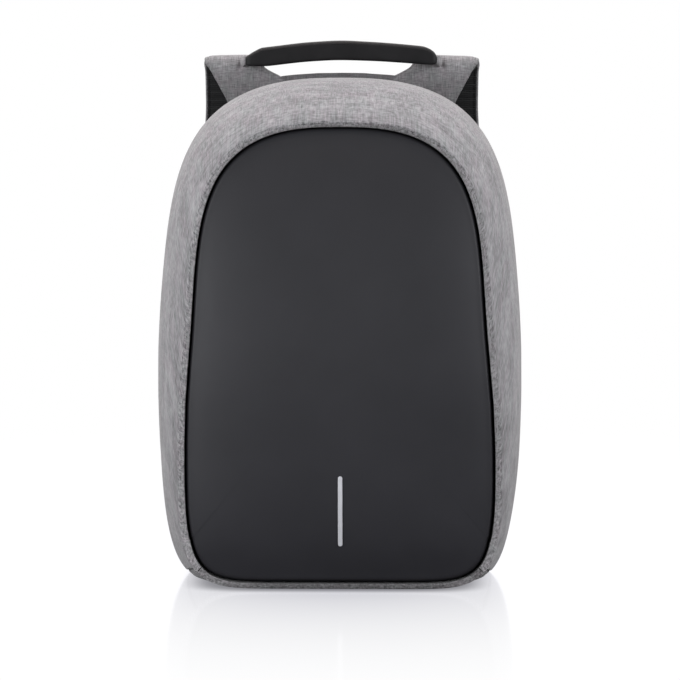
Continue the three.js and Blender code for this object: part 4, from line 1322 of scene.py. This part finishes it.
def tab_piece(name, side):
    """The folded cloth that carries the end of the handle and runs into the wing."""
    route = [
        (-4.5, GRIP_Y, 0.3, 2.6, 2.0), (0.3, GRIP_Y + 0.3, 0.3, 3.8, 2.0),
        (1.5, GRIP_Y + 2.0, 0.1, 4.3, 1.9), (2.2, GRIP_Y + 4.2, -0.2, 4.5, 1.8),
        (2.8, -0.6, -0.6, 4.4, 1.6), (3.2, 1.6, -0.9, 4.2, 1.2),
    ]
    ts = np.linspace(0, len(route) - 1, 28)
    table = np.hstack([np.arange(len(route))[:, None], np.array(route)])
    rows = np.stack([np.interp(ts, *curve_through(table, c, 12)) for c in range(1, 6)], 1)
    angle = np.linspace(0, 2 * math.pi, 25)[:-1]
    points = []
    for i, (x, y, z, tall, thick) in enumerate(rows):
        before, after = rows[max(i - 1, 0)], rows[min(i + 1, len(rows) - 1)]
        run = np.array([after[0] - before[0], after[1] - before[1]])
        run /= np.linalg.norm(run)
        across = thick * 0.5 * np.sin(angle) * (1 + 0.25 * np.cos(3 * angle))
        up = tall * np.cos(angle)
        points.append(np.stack([side * (GRIP_LENGTH / 2 + x - run[1] * across), y + run[0] * across,
                                GRIP_END_Z + z + up], 1))
    points = np.array(points)
    uv = np.stack([points[..., 2], points[..., 0] * 1.5], 2)
    piece = grid_piece(f"handle_tab_{name}", points, uv, STRAP_CLOTH_PAINTED_LIGHT_AND_SHADE)
    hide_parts("handle_band")


# Back panel and zip

# Channels of the back panel: half width and depth of the spine's, the cross ones and the side ones
SPINE_CHANNEL = (9, 4.5)
CROSS_CHANNEL = (5, 3.4)
CROSS_HEIGHTS = (118, 206, 294)
CROSS_BEND = 0.0009
SIDE_CHANNEL = (4.5, 3.4)
SIDE_PLACE = 92
SIDE_BEND = 0.00012
SIDE_MIDDLE = 170


def back_depth(x, z):
    """How far the back panel's face lies in from its flat zones."""
    def channel(distance, half, deep):
        return deep * plateau(distance, half)

    deep = channel(x, *SPINE_CHANNEL)
    for height in CROSS_HEIGHTS:
        deep = np.maximum(deep, channel(z - height + CROSS_BEND * x**2, *CROSS_CHANNEL))
    place = SIDE_PLACE - SIDE_BEND * (z - SIDE_MIDDLE) ** 2
    for side in (-1, 1):
        deep = np.maximum(deep, channel(x - side * place, *SIDE_CHANNEL))
    return deep


def back_piece():
    """Padded back: bound edge, a seam round its face, and sewn channels."""
    outline = body_ring(np.linspace(0, 1, 150), BACK_ROUNDING, BACK_ROUNDING / 2)
    section = [(1.00, -BACK_THICK), (1.00, -0.86 * BACK_THICK)]
    section += [(1 - 0.011 * t, -BACK_THICK * (0.86 - 0.8 * t)) for t in (0.25, 0.5, 0.75, 1.0)]
    section += [(0.98, -0.35), (0.97, -0.12), (BACK_SEAM, -0.02)]
    section += [(scale, 0.0) for scale in np.linspace(0.94, 0.02, 62)]
    middle = np.array([0, BODY_WAIST])
    rings = [at_depth(middle + scale * (outline - middle), -BACK_THICK) for scale in (0.1, 0.9)]
    for scale, y in section:
        ring = middle + scale * (outline - middle)
        face = np.clip((0.962 - scale) / 0.02, 0, 1)
        depth = y - face * back_depth(ring[:, 0], ring[:, 1])
        seam = BACK_SEAM_DEPTH * math.exp(-((scale - BACK_SEAM) / 0.006) ** 2)
        rings.append(at_depth(ring, depth - seam))
    points = np.array(rings)
    edge = np.zeros(points.shape[:2], bool)
    edge[:11] = True
    piece = grid_piece("back_padding", points, points[:, :, [0, 2]], BACK_MESH,
                       paint=[(BINDING_AND_GAP_SHADE, edge)])
    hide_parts("back_panel")


def zip_piece():
    """Two tapes with a channel between them, and the coil of teeth in it."""
    shares = np.linspace(0, 1, 220)
    front = SHELL_BACK + PIECE_GAP
    section = np.array([
        (2.0, 0.0), (1.0, 0.0), (0.2, 0.15), (0.0, 0.6), (0.0, 3.2), (0.5, 3.5), (0.6, 4.5), (0.5, 5.5),
        (0.0, 5.8), (0.0, 8.4), (0.2, 8.85), (1.0, 9.0), (2.0, 9.0),
    ])
    rows = []
    for inward, back in section:
        inset = BACK_ROUNDING + ZIP_BAND_SINK + inward
        rows.append(at_depth(body_ring(shares, inset, inset / 2), front + back))
    points = np.array(rows)
    length = ring_lengths(points[3])
    uv = np.stack(np.broadcast_arrays(length[None, :], section[:, 1][:, None]), 2)
    piece = grid_piece("zip_tape", points, uv, ZIP_TAPE, close_rows=True, poles=False)
    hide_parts("zip_band")
    teeth_piece(points[6], length)


def teeth_piece(ring, length):
    """Coil teeth along the middle of the zip, swaying from side to side."""
    total = length[-1] + np.linalg.norm(ring[0] - ring[-1])
    places = np.arange(0, total, TOOTH_PITCH)
    closed = np.vstack([ring, ring[:1]])
    run = np.append(length, total)
    centre = np.stack([np.interp(places, run, closed[:, c]) for c in range(3)], 1)
    tangent = np.gradient(centre, axis=0)
    tangent /= np.linalg.norm(tangent, axis=1)[:, None]
    verts, faces = [], []
    corners = [
        (-1, -1, 0), (1, -1, 0), (1, 1, 0), (-1, 1, 0),
        (-0.7, -0.7, 1), (0.7, -0.7, 1), (0.7, 0.7, 1), (-0.7, 0.7, 1),
    ]
    back = np.array([0, 1, 0])
    quads = [(0, 3, 2, 1), (4, 5, 6, 7), (0, 1, 5, 4), (1, 2, 6, 5), (2, 3, 7, 6), (3, 0, 4, 7)]
    for i, (at, t) in enumerate(zip(centre, tangent)):
        out = np.cross(t, back)
        sway = TOOTH_SWAY * (-1) ** i
        base = len(verts)
        for a, b, c in corners:
            verts.append(at + t * a * TOOTH_HALF_LENGTH + back * (b * TOOTH_HALF_WIDTH + sway)
                         + out * (c * TOOTH_HEIGHT - TOOTH_SINK))
        faces += [tuple(base + k for k in quad) for quad in quads]
    finish_mesh("zip_coil", mesh_of("zip_coil", verts, faces), PLASTIC)


# Webbing and adjusters


ADJUSTER_Y = STRAP_Y + STRAP_DROP[-1][1] * STRAP_BOW


def turn_rows(bar_z, up):
    """Half a turn of webbing round a bar, above it (1) or below it (-1)."""
    angles = math.pi * (1 - np.linspace(0, 1, 11))
    return [(ADJUSTER_Y + TURN_RADIUS * math.cos(angle), bar_z + up * TURN_RADIUS * math.sin(angle))
            for angle in angles]


def webbing_piece(name, node, route, side):
    inner = WEBBING_PLACE - WEBBING_WIDTH / 2
    rows = [(y, z, inner, inner + WEBBING_WIDTH) for y, z in route]
    piece = sweep(name, rows, WEBBING_THICK, WEBBING, side, webbing_ring, 0.9)
    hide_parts(node)


def lower_webbing(name, side):
    """Webbing from where it is sewn on, up round the adjuster's lower bar, and its free tail."""
    bar_z = ADJUSTER_TOP - ADJUSTER_HEIGHT + ADJUSTER_BAR / 2
    sewn_y = PIECE_GAP + WEBBING_THICK / 2
    sewn_top = WEBBING_FOOT + WEBBING_SEWN
    inner_y, outer_y = ADJUSTER_Y - TURN_RADIUS, ADJUSTER_Y + TURN_RADIUS
    climb = [(sewn_y + (inner_y - sewn_y) * out, sewn_top + (bar_z - sewn_top) * up)
             for out, up in ((0.08, 0.12), (0.45, 0.45), (0.88, 0.8))]
    tail = [(outer_y + out, bar_z - down * WEBBING_TAIL)
            for out, down in ((0, 0.1), (0.8, 0.5), (0.4, 1))]
    route = [(sewn_y, WEBBING_FOOT), (sewn_y, sewn_top - 2), *climb, *turn_rows(bar_z, 1), *tail]
    webbing_piece(f"webbing_band_{name}", f"webbing_{name}", route, side)


def strap_loop(name, side):
    """The sewn loop that joins a strap's end to its adjuster."""
    turn = turn_rows(ADJUSTER_TOP - ADJUSTER_BAR / 2, -1)
    end = STRAP_END - PIECE_GAP
    route = [(turn[0][0], end), *turn, (turn[-1][0], end)]
    webbing_piece(f"loop_band_{name}", f"strap_loop_{name}", route, side)


def rounded_copy(node, name, material, radius):
    """A moulded part: the CAD node's own shape with its edges rounded."""
    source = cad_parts[node]
    mesh = source.data.copy()
    mesh.name = name
    mesh.materials.clear()
    mesh.transform(source.matrix_world)
    work = bmesh.new()
    work.from_mesh(mesh)
    bmesh.ops.remove_doubles(work, verts=work.verts, dist=1e-6)
    bmesh.ops.dissolve_limit(work, angle_limit=math.radians(2), verts=work.verts, edges=work.edges)
    sharp = [e for e in work.edges if e.is_manifold and e.calc_face_angle(0) > math.radians(25)]
    bmesh.ops.bevel(work, geom=sharp, offset=radius * MM, segments=3, profile=0.5, affect="EDGES",
                    clamp_overlap=True)
    bmesh.ops.recalc_face_normals(work, faces=work.faces)
    work.to_mesh(mesh)
    work.free()
    mesh.shade_smooth()
    mesh.materials.append(material)
    piece = add_object(name, mesh)
    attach(piece, "root")
    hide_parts(node)


# Stitches
STITCH_RADIUS = 0.22
STITCH_START = 0.4


def stitch_row(name, path, normals, material, length=2.6, gap=0.9):
    """A row of short threads along a path, each lying on the surface and dipping at its ends."""
    ts = np.array([0, 0.2, 0.5, 0.8, 1.0])
    rise = np.array([-0.16, 0.10, 0.17, 0.10, -0.16])
    wide = np.array([0.5, 0.95, 1.0, 0.95, 0.5]) * STITCH_RADIUS
    path = np.array(path, float)
    along = np.concatenate([[0], np.cumsum(np.linalg.norm(np.diff(path, axis=0), axis=1))])
    normals = np.array(normals, float)
    verts, faces = [], []
    start = STITCH_START
    while start + length < along[-1]:
        places = start + ts * length
        mid = np.stack([np.interp(places, along, path[:, c]) for c in range(3)], 1)
        up = np.stack([np.interp(places, along, normals[:, c]) for c in range(3)], 1)
        run = mid[-1] - mid[0]
        run /= np.linalg.norm(run)
        base = len(verts)
        for m, n, r, w in zip(mid, up, rise, wide):
            side = np.cross(run, n)
            for k in range(6):
                angle = 2 * math.pi * k / 6
                verts.append(m + n * (r + w * math.sin(angle)) + side * w * math.cos(angle))
        for ring_index in range(4):
            for k in range(6):
                a, b = base + ring_index * 6 + k, base + ring_index * 6 + (k + 1) % 6
                faces.append((a, b, b + 6, a + 6))
        faces.append(tuple(base + k for k in range(6))[::-1])
        faces.append(tuple(base + 24 + k for k in range(6)))
        start += length + gap
    finish_mesh(name, mesh_of(name, verts, faces), material)


shell_piece()
panel_piece()
strip_piece()
yoke_piece()
grip_piece()
band_piece()
back_piece()
zip_piece()
for label, direction in (("left", -1), ("right", 1)):
    tab_piece(label, direction)
    box_stitches(label, direction * WEBBING_PLACE, WEBBING_FOOT + 4, WEBBING_FOOT + WEBBING_SEWN - 6, 9,
                 PIECE_GAP + WEBBING_THICK + 0.05)
    strap_piece(label, direction)
    mesh_piece(label, direction)
    lower_webbing(label, direction)
    strap_loop(label, direction)
    rounded_copy(f"adjuster_{label}", f"ladder_buckle_{label}", PLASTIC, 0.5)
    rounded_copy(f"zip_pull_{label}", f"zip_slider_{label}", PLASTIC, 0.35)

foot_y = YOKE_Y + STRAP_THICK / 2 - 0.2
foot_x = np.linspace(-60, 60, 61)
foot = [(x, foot_y, YOKE_FOOT + 3) for x in foot_x]
stitch_row("yoke_stitches", foot, [(0, 1, 0)] * len(foot), PALE_THREAD)
